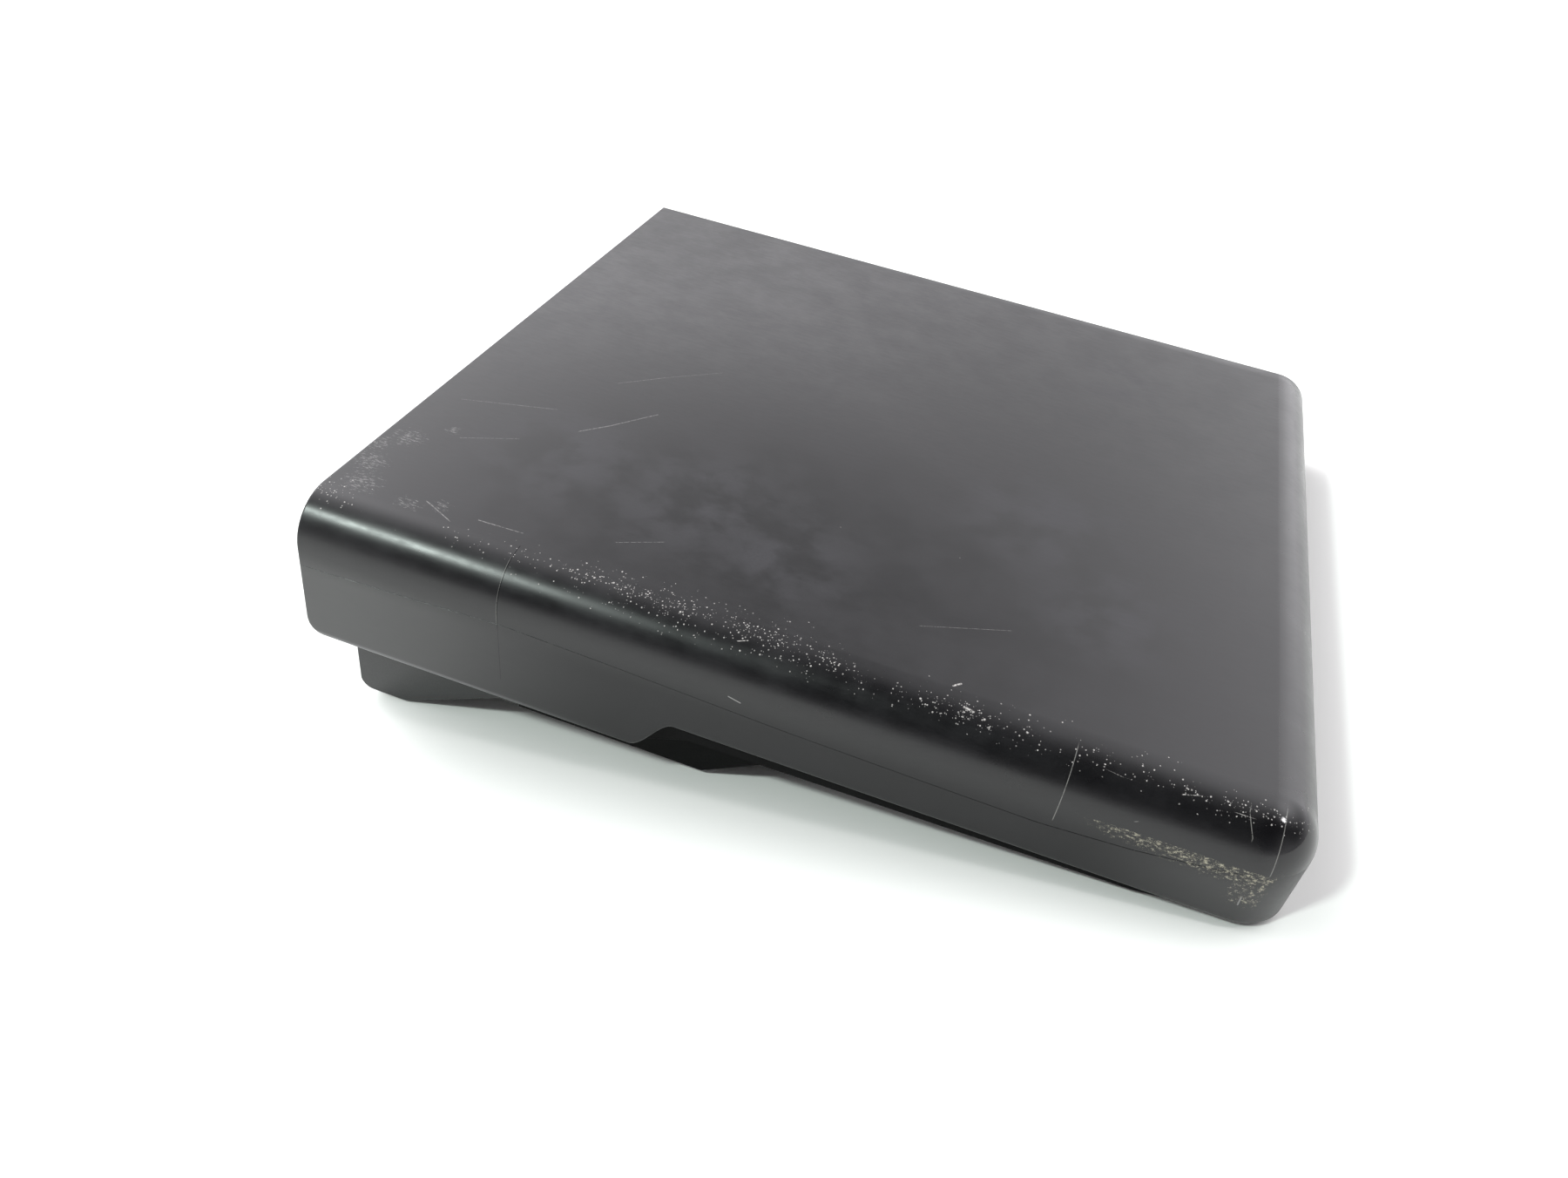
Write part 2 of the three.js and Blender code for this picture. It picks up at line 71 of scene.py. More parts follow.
# ---- mesh helpers ---------------------------------------------------------------------------
def make(name, bm, mat, body, replaces=(), bevel=0.0, segs=2, angle=35, smooth=40):
    bmesh.ops.remove_doubles(bm, verts=bm.verts, dist=1e-4)
    bmesh.ops.recalc_face_normals(bm, faces=bm.faces)
    me = bpy.data.meshes.new(name)
    bm.to_mesh(me)
    bm.free()
    me.transform(TO_ROW)
    ob = bpy.data.objects.new(name, me)
    bpy.context.scene.collection.objects.link(ob)
    me.materials.append(mat)
    if bevel:
        m = ob.modifiers.new("bevel", "BEVEL")
        m.width, m.segments, m.limit_method = bevel / 1000, segs, "ANGLE"
        m.angle_limit = math.radians(angle)
        m.miter_outer = "MITER_ARC"
        dg = bpy.context.evaluated_depsgraph_get()
        fine = bpy.data.meshes.new_from_object(ob.evaluated_get(dg))
        ob.modifiers.clear()
        ob.data = fine
        me = fine
    for p in me.polygons:
        p.use_smooth = True
    me.set_sharp_from_angle(angle=math.radians(smooth))
    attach(ob, body)
    if replaces:
        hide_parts(*replaces)
    return ob


def add_loop(bm, pts):
    return [bm.verts.new(p) for p in pts]


def bridge(bm, a, b, closed=True):
    n = len(a)
    for i in range(n if closed else n - 1):
        j = (i + 1) % n
        bm.faces.new((a[i], a[j], b[j], b[i]))


def arc(cx, cy, r, a0, a1, n):
    return [(cx + r * math.cos(math.radians(a0 + (a1 - a0) * i / n)),
             cy + r * math.sin(math.radians(a0 + (a1 - a0) * i / n))) for i in range(n + 1)]


def round_poly(pts, radii, n=5):
    """Closed outline with each corner rounded by its radius."""
    out = []
    m = len(pts)
    for i in range(m):
        p0, p1, p2 = Vector(pts[i - 1]), Vector(pts[i]), Vector(pts[(i + 1) % m])
        r = radii[i] if isinstance(radii, (list, tuple)) else radii
        if r <= 0:
            out.append(tuple(p1))
            continue
        u, v = (p0 - p1).normalized(), (p2 - p1).normalized()
        dot = max(-1, min(1, u.dot(v)))
        half = math.acos(dot) / 2
        if half > math.radians(88):
            out.append(tuple(p1))
            continue
        t = min(r / math.tan(half), 0.48 * (p0 - p1).length, 0.48 * (p2 - p1).length)
        rr = t * math.tan(half)
        c = p1 + (u + v).normalized() * (rr / math.sin(half))
        a = (p1 + u * t) - c
        b = (p1 + v * t) - c
        ang = math.atan2(a.x * b.y - a.y * b.x, a.dot(b))
        for k in range(n + 1):
            s = ang * k / n
            out.append((c.x + a.x * math.cos(s) - a.y * math.sin(s), c.y + a.x * math.sin(s) + a.y * math.cos(s)))
    return out


def circle(cx, cy, r, n=40):
    return [(cx + r * math.cos(2 * math.pi * i / n), cy + r * math.sin(2 * math.pi * i / n)) for i in range(n)]


def plate(bm, outline, holes, lo, hi, plane="XZ", edge=0.0):
    """Outline with holes pushed from lo to hi; edge is a small chamfer on every rim."""
    def put(p, d):
        return (p[0], d, p[1]) if plane == "XZ" else (d, p[0], p[1])

    def grow(loop, e):
        m = len(loop)
        out = []
        for i in range(m):
            a, b, c = Vector(loop[i - 1]), Vector(loop[i]), Vector(loop[(i + 1) % m])
            u, v = (b - a).normalized(), (c - b).normalized()
            nn = Vector((u.y + v.y, -u.x - v.x))
            k = nn.length
            nn = nn / k if k > 1e-6 else Vector((u.y, -u.x))
            s = e / max(0.35, nn.dot(Vector((u.y, -u.x))))
            out.append((b.x + nn.x * s, b.y + nn.y * s))
        return out

    def area(loop):
        return sum(loop[i - 1][0] * loop[i][1] - loop[i][0] * loop[i - 1][1] for i in range(len(loop))) / 2
    loops = [list(outline) if area(outline) > 0 else list(reversed(outline))]
    loops += [list(h) if area(h) < 0 else list(reversed(h)) for h in holes]
    ends = {}
    for tag, d0, d1 in (("lo", lo, lo + edge), ("hi", hi, hi - edge)):
        rims = []
        for lp in loops:
            inner = grow(lp, -edge) if edge else lp
            a = add_loop(bm, [put(p, d0) for p in inner])
            b = add_loop(bm, [put(p, d1) for p in lp]) if edge else a
            if edge:
                bridge(bm, a, b)
            rims.append((a, b))
        ends[tag] = rims
        edges = []
        for a, _ in rims:
            for i in range(len(a)):
                e = bm.edges.get((a[i - 1], a[i])) or bm.edges.new((a[i - 1], a[i]))
                edges.append(e)
        bmesh.ops.triangle_fill(bm, use_beauty=True, use_dissolve=True, edges=edges)
    for (_, b0), (_, b1) in zip(ends["lo"], ends["hi"]):
        bridge(bm, b0, b1)


def lathe_y(bm, x, z, profile, n=40, closed=False):
    """Profile of (radius, y) turned about the line through x, z along y."""
    loops = []
    for r, y in profile:
        if r < 1e-6:
            loops.append([bm.verts.new((x, y, z))])
        else:
            loops.append([bm.verts.new((x + r * math.cos(2 * math.pi * i / n), y,
                                        z + r * math.sin(2 * math.pi * i / n))) for i in range(n)])
    pairs = list(zip(loops, loops[1:]))
    if closed:
        pairs.append((loops[-1], loops[0]))
    for a, b in pairs:
        if len(a) == 1 and len(b) == 1:
            continue
        if len(a) == 1:
            for i in range(n):
                bm.faces.new((a[0], b[i], b[(i + 1) % n]))
        elif len(b) == 1:
            for i in range(n):
                bm.faces.new((a[(i + 1) % n], a[i], b[0]))
        else:
            bridge(bm, a, b)


def shaft(bm, x, z, r, y0, y1, c=0.6, n=40):
    lathe_y(bm, x, z, [(0, y0), (r - c, y0), (r, y0 + c), (r, y1 - c), (r - c, y1), (0, y1)], n)


def ring(bm, x, z, r0, r1, y0, y1, c=0.3, n=48):
    lathe_y(bm, x, z, [(r0, y0), (r1 - c, y0), (r1, y0 + c), (r1, y1 - c), (r1 - c, y1), (r0, y1)], n, closed=True)


def sweep(bm, pts, r, sides=12):
    """Round bar along points, with flat closed ends."""
    pts = [Vector(p) for p in pts]
    up = Vector((0, 1, 0))
    prev = None
    first = None
    for i, p in enumerate(pts):
        t = (pts[min(i + 1, len(pts) - 1)] - pts[max(i - 1, 0)]).normalized()
        a = up.cross(t)
        if a.length < 1e-4:
            a = Vector((1, 0, 0)).cross(t)
        a.normalize()
        b = t.cross(a)
        lp = [bm.verts.new(p + r * (a * math.cos(2 * math.pi * k / sides) + b * math.sin(2 * math.pi * k / sides)))
              for k in range(sides)]
        if prev:
            bridge(bm, prev, lp)
        else:
            first = lp
        prev = lp
    bm.faces.new(list(reversed(first)))
    bm.faces.new(prev)


PART_LINE = [(0, -23.8), (38, -22.2), (74, -20.2), (112, -21.4), (171, -24.0), (213, -24.9), (252, -25.6),
             (280, -23.6), (300, -20.6), (312, -18.4)]


# ---- materials --------------------------------------------------------------------------------
class Nodes:
    def __init__(self, name, **consts):
        self.m = bpy.data.materials.new(name)
        self.m.use_nodes = True
        self.t = self.m.node_tree
        self.t.nodes.clear()
        self.out = self.t.nodes.new("ShaderNodeOutputMaterial")
        self.b = self.t.nodes.new("ShaderNodeBsdfPrincipled")
        self.t.links.new(self.b.outputs[0], self.out.inputs[0])
        for k, v in consts.items():
            self.b.inputs[k.replace("_", " ")].default_value = v
        self.obj = self.t.nodes.new("ShaderNodeTexCoord").outputs["Object"]
        mp = self.t.nodes.new("ShaderNodeMapping")        # row frame in metres -> deck frame in mm
        self.t.links.new(self.obj, mp.inputs[0])
        mp.inputs["Scale"].default_value = (1000, 1000, 1000)
        mp.inputs["Rotation"].default_value = (0, -TILT, 0)
        off = Vector((-CENTRE_X, -D / 2, -TABLE_Z * math.cos(TILT)))
        mp.inputs["Location"].default_value = -(Matrix.Rotation(-TILT, 3, "Y") @ off)
        self.p = mp.outputs[0]

    def link(self, v, s):
        if isinstance(v, bpy.types.NodeSocket):
            self.t.links.new(v, s)
        else:
            s.default_value = v

    def math(self, op, a, b=None, c=None, clamp=False):
        n = self.t.nodes.new("ShaderNodeMath")
        n.operation, n.use_clamp = op, clamp
        for v, s in zip((a, b, c), n.inputs):
            if v is not None:
                self.link(v, s)
        return n.outputs[0]

    def vec(self, op, a, b=None, out=0, scale=None):
        n = self.t.nodes.new("ShaderNodeVectorMath")
        n.operation = op
        self.link(a, n.inputs[0])
        if b is not None:
            self.link(b, n.inputs[1])
        if scale is not None:
            self.link(scale, n.inputs["Scale"])
        return n.outputs["Value" if op in ("DOT_PRODUCT", "LENGTH", "DISTANCE") else "Vector"]

    def xyz(self, v):
        n = self.t.nodes.new("ShaderNodeSeparateXYZ")
        self.link(v, n.inputs[0])
        return n.outputs

    def ramp(self, v, a, b, lo=0.0, hi=1.0, smooth=True):
        n = self.t.nodes.new("ShaderNodeMapRange")
        if smooth:
            n.interpolation_type = "SMOOTHSTEP"
        self.link(v, n.inputs["Value"])
        for k, x in zip(("From Min", "From Max", "To Min", "To Max"), (a, b, lo, hi)):
            self.link(x, n.inputs[k])
        return n.outputs["Result"]

    def noise(self, scale, detail=3.0, rough=0.55, vec=None, stretch=None, w=None):
        n = self.t.nodes.new("ShaderNodeTexNoise")
        v = vec or self.p
        if stretch:
            v = self.vec("MULTIPLY", v, stretch)
        self.link(v, n.inputs["Vector"])
        n.inputs["Scale"].default_value = scale
        n.inputs["Detail"].default_value = detail
        n.inputs["Roughness"].default_value = rough
        return n.outputs["Fac"]

    def voronoi(self, scale, vec=None):
        n = self.t.nodes.new("ShaderNodeTexVoronoi")
        self.link(vec or self.p, n.inputs["Vector"])
        n.inputs["Scale"].default_value = scale
        return n.outputs["Distance"], n.outputs["Color"]

    def mix(self, f, a, b):
        n = self.t.nodes.new("ShaderNodeMix")
        n.data_type = "RGBA"
        self.link(f, n.inputs[0])
        self.link(a, n.inputs[6])
        self.link(b, n.inputs[7])
        return n.outputs[2]

    def add(self, *xs):
        r = xs[0]
        for x in xs[1:]:
            r = self.math("ADD", r, x)
        return r

    def mul(self, *xs):
        r = xs[0]
        for x in xs[1:]:
            r = self.math("MULTIPLY", r, x)
        return r

    def near(self, v, centre, half, soft):
        """1 within half of centre, falling to 0 over soft."""
        d = self.math("ABSOLUTE", self.math("SUBTRACT", v, centre))
        return self.ramp(d, half, half + soft, 1.0, 0.0)

    def stroke(self, a, b, w):
        """Thin line from a to b, w mm half width."""
        a, b = Vector(a), Vector(b)
        ab = b - a
        ap = self.vec("SUBTRACT", self.p, tuple(a))
        t = self.math("DIVIDE", self.vec("DOT_PRODUCT", ap, tuple(ab)), ab.length_squared, clamp=True)
        d = self.vec("LENGTH", self.vec("SUBTRACT", ap, self.vec("SCALE", tuple(ab), scale=t)))
        return self.ramp(d, w, w * 0.35, 0.0, 1.0)

    def bump(self, h, strength=0.3, dist=0.0002, normal=None):
        n = self.t.nodes.new("ShaderNodeBump")
        n.inputs["Strength"].default_value = strength
        n.inputs["Distance"].default_value = dist
        self.link(h, n.inputs["Height"])
        if normal is not None:
            self.link(normal, n.inputs["Normal"])
        return n.outputs[0]

    def rgb(self, c):
        return (*c, 1.0)


def most(k, parts):
    r = None
    for v in parts:
        r = v if r is None else k.math("MAXIMUM", r, v)
    return r


def charcoal(name, where=None):
    """Semi-matt moulded charcoal plastic; where is the worn face it covers: top, fillet or face."""
    k = Nodes(name)
    x, y, z = k.xyz(k.p)[:3]
    blot = k.noise(0.05, 4, 0.6)
    grain = k.noise(2.2, 2, 0.6)
    fine = k.noise(0.6, 3, 0.7, stretch=(0.25, 1.0, 1.0))
    base = k.mix(k.ramp(blot, 0.35, 0.75), k.rgb((0.0044, 0.0042, 0.0049)), k.rgb((0.0070, 0.0067, 0.0078)))
    rough = k.add(k.ramp(blot, 0.25, 0.75, 0.32, 0.40), k.ramp(fine, 0.3, 0.7, -0.02, 0.02))
    marks = None
    if where == "top":
        # wiped patches: a little paler and duller
        smudge = most(k, [k.ramp(k.vec("DISTANCE", k.p, (cx, cy, 0)), r * 1.5, r * 0.2, 0.0, 1.0) for cx, cy, r in
                          ((112, 68, 30), (150, 52, 24), (228, 118, 30), (258, 76, 24), (245, 247, 18), (60, 70, 30))])
        smudge = k.mul(smudge, k.ramp(k.noise(0.05, 3, 0.6), 0.36, 0.62), k.ramp(k.noise(1.1, 3, 0.8), 0.30, 0.62, 0.45, 1.0))
        base = k.mix(k.mul(smudge, 0.36), base, k.rgb((0.034, 0.033, 0.040)))
        rough = k.add(rough, k.mul(smudge, 0.08))
        lines = (((58, 87.7, 0), (66, 97, 0), .30), ((66, 97, 0), (78.1, 113.8, 0), .25),
                 ((55.5, 127.3, 0), (70, 142, 0), .16), ((70, 142, 0), (88, 158.1, 0), .14),
                 ((11.1, 85.2, 0), (44.4, 97.2, 0), .14),
                 ((34.4, 23.2, 0), (41, 20.0, 0), .28), ((41, 20, 0), (46.5, 17.2, 0), .28),
                 ((54.2, 22.2, 0), (60, 22.4, 0), .30), ((60, 22.4, 0), (69.7, 22.8, 0), .18),
                 ((24, 62, 0), (42, 72, 0), .12), ((98, 33, 0), (112, 41, 0), .12), ((200, 40, 0), (228, 52, 0), .10))
        sc = k.mul(most(k, [k.stroke(*ln) for ln in lines]), k.ramp(k.noise(1.3, 3, 0.7), 0.36, 0.60))
        base = k.mix(k.mul(sc, 0.72), base, k.rgb((0.26, 0.25, 0.245)))
        # rubbed streaks over the rear left corner
        zone = most(k, [k.ramp(k.vec("DISTANCE", k.p, (cx, cy, 0)), r0 * 1.5, r0 * 0.3, 0.0, 1.0) for cx, cy, r0 in
                        ((11, 22, 7), (6, 34, 6), (9, 53, 6), (2, 45, 5), (20, 65, 3), (30, 18, 5), (40, 23, 4))])
        zone = k.add(zone, k.mul(k.ramp(x, 52, 4), k.near(y, 40, 20, 34), 0.20))
        rub = k.noise(0.62, 5, 0.80, stretch=(0.7, 1.9, 1.0))
        streak = k.mul(k.ramp(k.add(rub, k.mul(zone, 0.10)), 0.63, 0.72), k.ramp(zone, 0.05, 0.6))
        base = k.mix(k.mul(streak, 0.60), base, k.rgb((0.26, 0.25, 0.245)))
        # sparse specks on the front half
        dist3, col3 = k.voronoi(0.26, vec=k.vec("ADD", k.p, (11, 5, 2)))
        r3, g3, b3 = k.xyz(col3)[:3]
        sparse = k.mul(k.ramp(dist3, k.add(k.mul(g3, 0.05), 0.04), 0.02, 0.0, 1.0),
                       k.math("LESS_THAN", r3, k.mul(k.ramp(y, 130, 10), 0.045)), 0.8)
        marks = k.math("MAXIMUM", k.math("MAXIMUM", sc, streak), sparse)
        base = k.mix(k.mul(sparse, 0.85), base, k.rgb((0.50, 0.48, 0.46)))
    if where in ("top", "fillet"):
        # pale specks along the upper part of the side fillet: q is how far in from the edge they sit
        q = k.add(y, k.mul(z, 1.1))
        past = k.math("SUBTRACT", q, k.ramp(x, 165, 200, 12.0, 7.0))
        core = k.ramp(k.math("ABSOLUTE", past), 1.0, 5.0, 1.0, 0.0)
        halo = k.mul(k.ramp(past, 14.0, 1.0, 0.0, 1.0), k.ramp(q, -7.0, 1.0))
        run = k.mul(k.ramp(x, 80, 104), k.ramp(x, 172, 196, 1.0, 0.45))
        run = most(k, [run, k.mul(k.ramp(x, 22, 2), 0.7), k.mul(k.near(x, 219, 6, 10), 0.75),
                       k.mul(k.ramp(x, 255, 295), 0.7), k.mul(k.ramp(x, 30, 70), 0.25)])
        clump = k.ramp(k.noise(0.11, 4, 0.75), 0.34, 0.62)
        dens = k.mul(run, k.ramp(z, -6.5, -3.0), k.add(k.mul(core, clump, 0.95), k.mul(halo, clump, 0.30), k.mul(halo, 0.05)))
        dist, col = k.voronoi(1.45)
        r, g, b_ = k.xyz(col)[:3]
        speck = k.mul(k.ramp(dist, k.add(k.mul(g, 0.42), 0.10), k.mul(g, 0.26), 0.0, 1.0),
                      k.math("LESS_THAN", r, dens), k.add(k.mul(b_, 0.6), 0.4))
        dist2, col2 = k.voronoi(0.46, vec=k.vec("ADD", k.p, (3.1, 7.7, 1.9)))
        r2, g2, b2 = k.xyz(col2)[:3]
        flake = k.mul(k.ramp(dist2, k.add(k.mul(g2, 0.22), 0.05), k.mul(g2, 0.08), 0.0, 1.0),
                      k.math("LESS_THAN", r2, k.mul(dens, 0.55)))
        pale = k.math("MAXIMUM", speck, flake)
        # a few pale nicks along the top of the fillet at the low end
        nicks = (((258, 7.6, -2.4), (270, 6.5, -3.3), .14), ((150, 8.4, -2.1), (153, 9.5, -1.5), .20),
                 ((287, 7.0, -2.9), (292.5, 8.2, -2.0), .26), ((270, 6.5, -3.3), (287, 6.8, -3.0), .10),
                 ((300, 6.9, -2.9), (312, 7.2, -3.2), .12), ((277, 0.3, -12.8), (279.5, 0.5, -11.6), .22),
                 ((221, 11, -.9), (224, 10.5, -1.1), .45))
        if where == "top":
            nicks = (((216, 17.5, 0), (218, 19.5, 0), .45), ((313.6, 17.5, 0), (313.6, 52, 0), .15), ((313.6, 56, 0), (313.6, 120, 0), .11))
        nick = k.mul(most(k, [k.stroke(*ln) for ln in nicks]), k.ramp(k.noise(1.6, 3, 0.7), 0.36, 0.56))
        pale = k.math("MAXIMUM", pale, nick)
        base = k.mix(k.mul(pale, 0.85), base, k.rgb((0.55, 0.52, 0.50)))
        marks = pale if marks is None else k.math("MAXIMUM", marks, pale)
    if where in ("fillet", "face"):
        # hairline witness marks across the side fillet, each from one x, z to another
        hair = None
        for xa, za, xb, zb, w in ((71.9, -1.6, 72.6, -20, .08), (255.6, -1.7, 255.6, -22.0, .17),
                                  (306.0, -2.2, 308.6, -6.8, .17), (316.1, -1.4, 317.2, -16, .18)):
            d = k.math("ABSOLUTE", k.math("SUBTRACT", x, k.ramp(z, za, zb, xa, xb, False)))
            s = k.mul(k.ramp(d, w, w * 0.35, 0.0, 1.0), k.ramp(z, za + 1.2, za), k.ramp(z, zb - 1.2, zb))
            hair = s if hair is None else k.math("MAXIMUM", hair, s)
        left = k.math("ABSOLUTE", k.math("SUBTRACT", x, k.ramp(z, -1.6, -20, 72.2, 72.9, False)))
        left = k.mul(k.ramp(left, 0.15, 0.07, 0.0, 1.0), k.ramp(y, 60, 40))
        hair = k.mul(hair, k.ramp(y, 60, 40), k.ramp(k.noise(0.9, 2, 0.6), 0.26, 0.46))
        base = k.mix(k.mul(hair, 0.85), base, k.rgb((0.20, 0.195, 0.185)))
    if where == "face":
        # scuffed patch near the low corner, along the parting line
        drop = k.math("SUBTRACT", z, k.ramp(x, 258, 300, -15.2, -18.8, False))
        pz = k.mul(k.ramp(x, 256, 276), k.ramp(x, 322, 316), k.ramp(k.math("ABSOLUTE", drop), 7.0, 1.0, 0.0, 1.0))
        pz = k.math("MAXIMUM", pz, k.mul(k.near(x, 313.5, 2.5, 5), k.near(z, -22, 7, 5), 0.7))
        pz = k.mul(pz, k.ramp(y, 5, 2.0))
        scuff = k.noise(0.62, 6, 0.85, stretch=(0.8, 1.0, 1.3))
        patch = k.mul(k.ramp(k.add(scuff, k.mul(pz, 0.09)), 0.590, 0.69), k.ramp(pz, 0.05, 0.5))
        base = k.mix(k.mul(patch, 0.80), base, k.rgb((0.52, 0.485, 0.37)))
        # painted highlight: a paler band along the skirt's bottom rim at its deep left end, standing in for the light
        # the rounded rim catches
        painted_rim_highlight = k.mul(k.near(z, -52.3, 0.35, 0.9), k.ramp(x, 118, 60))
        base = k.mix(k.mul(painted_rim_highlight, 0.5), base, k.rgb((0.14, 0.14, 0.145)))
        ticks = most(k, [k.stroke(*ln) for ln in (((152, 0, -17.5), (156, 0, -18.5), .30),
                                                  ((313.2, 0, -27.6), (313.4, 0, -31), .30))])
        base = k.mix(k.mul(ticks, 0.5), base, k.rgb((0.40, 0.39, 0.38)))
        marks = patch
        # the dark hairline of the moulding's parting line, and the lower part of the left mark
        seam = most(k, [k.stroke((xa, 0, za), (xb, 0, zb), 0.17) for (xa, za), (xb, zb) in zip(PART_LINE, PART_LINE[1:])])
        seam = k.mul(seam, k.add(k.ramp(x, 150, 90), k.ramp(x, 225, 262)), k.ramp(k.noise(0.8, 2, 0.7), 0.34, 0.52))
        seam = most(k, [seam, k.mul(left, k.ramp(z, -23, -21), 0.8), k.mul(k.stroke((72.9, 0, -20.5), (73.9, 0, -44), .09), 0.7)])
        # handled plastic has more sheen towards both ends of the skirt
        sheen = k.add(k.ramp(x, 120, 10, -0.13, 0.38), k.ramp(x, 262, 312, 0.0, 0.36))
        sheen = k.add(k.mul(sheen, k.ramp(z, -16.5, -27)), 0.5)
        k.link(k.mul(sheen, k.math("SUBTRACT", 1.0, k.mul(seam, 0.85))), k.b.inputs["Specular IOR Level"])
    if where == "fillet":
        rough = k.math("SUBTRACT", rough, 0.045)
        k.link(k.mul(k.math("SUBTRACT", 1.0, k.mul(left, 0.8)), 0.5), k.b.inputs["Specular IOR Level"])
        rough = k.add(rough, k.mul(k.ramp(k.vec("DISTANCE", k.p, (322, 9, -5)), 16.0, 5.0, 0.0, 1.0), -0.26))
    if marks is not None:
        rough = k.add(rough, k.mul(marks, 0.35))
    k.link(base, k.b.inputs["Base Color"])
    k.link(rough, k.b.inputs["Roughness"])
    h = k.add(k.mul(grain, 0.5), k.mul(fine, 0.5))
    nrm = k.bump(h, 0.10, 0.00008)
    if marks is not None:
        nrm = k.bump(marks, 0.35, 0.0001, nrm)
    k.link(nrm, k.b.inputs["Normal"])
    return k.m


def plain(name, a, b, rough, metallic=0.0, grain=(1.5, 0.12), brushed=None, spec=0.5):
    """Two-tone base with grain, roughness variation and bump."""
    k = Nodes(name, **{"Metallic": metallic, "Specular IOR Level": spec})
    n1 = k.noise(0.06, 4, 0.6)
    n2 = k.noise(grain[0], 3, 0.6, stretch=brushed)
    k.link(k.mix(k.ramp(n1, 0.3, 0.7), k.rgb(a), k.rgb(b)), k.b.inputs["Base Color"])
    k.link(k.add(k.ramp(n2, 0.25, 0.75, rough - 0.06, rough + 0.06), k.ramp(n1, 0.3, 0.7, -0.03, 0.03)),
           k.b.inputs["Roughness"])
    k.link(k.bump(n2, grain[1], 0.0001), k.b.inputs["Normal"])
    return k.m


M_TOP, M_FILLET, M_FACE = (charcoal(f"charcoal_{w}", w) for w in ("top", "fillet", "face"))
M_CAPS = charcoal("charcoal_end_caps")
M_FOOT = plain("charcoal_base", (0.0070, 0.0072, 0.0078), (0.0100, 0.0102, 0.0110), 0.40, grain=(2.0, 0.10))
# partly painted shade: matt black plastic whose base colour and specular level are turned down further, so the base
# tray and lips under the deck read as dark as their shade
M_BLACK_AND_SHADE = plain("matt_black", (0.0030, 0.0030, 0.0030), (0.0055, 0.0055, 0.0055), 0.62, grain=(1.6, 0.15), spec=0.07)
M_STEEL = plain("plated_steel", (0.33, 0.33, 0.325), (0.42, 0.42, 0.42), 0.36, metallic=1.0, grain=(1.2, 0.06), brushed=(0.08, 1, 1))
M_DARK = plain("black_steel", (0.020, 0.020, 0.022), (0.030, 0.030, 0.032), 0.42, grain=(3.0, 0.25))
M_RUBBER = plain("foot_rubber", (0.014, 0.014, 0.014), (0.022, 0.022, 0.022), 0.85, grain=(3.0, 0.3), spec=0.3)
M_NYLON = plain("glide_nylon", (0.60, 0.59, 0.54), (0.70, 0.69, 0.64), 0.45, grain=(1.5, 0.06))
M_LINING = plain("brake_lining", (0.085, 0.055, 0.035), (0.15, 0.10, 0.07), 0.9, grain=(4.0, 0.5))


# ---- worktop shell ------------------------------------------------------------------------------
def skirt_depth(x):
    if x < END_R:
        return SKIRT_DEEP - (END_R - math.sqrt(max(0.0, END_R ** 2 - (END_R - x) ** 2)))
    if x <= STEP_A:
        return SKIRT_DEEP
    if x >= STEP_B:
        return SKIRT_LOW
    t = (x - STEP_A) / (STEP_B - STEP_A)
    return SKIRT_DEEP - (SKIRT_DEEP - SKIRT_LOW) * t * t * (3 - 2 * t)


def part_z(x):
    for (x0, z0), (x1, z1) in zip(PART_LINE, PART_LINE[1:]):
        if x <= x1:
            return z0 + (z1 - z0) * (x - x0) / (x1 - x0)
    return PART_LINE[-1][1]


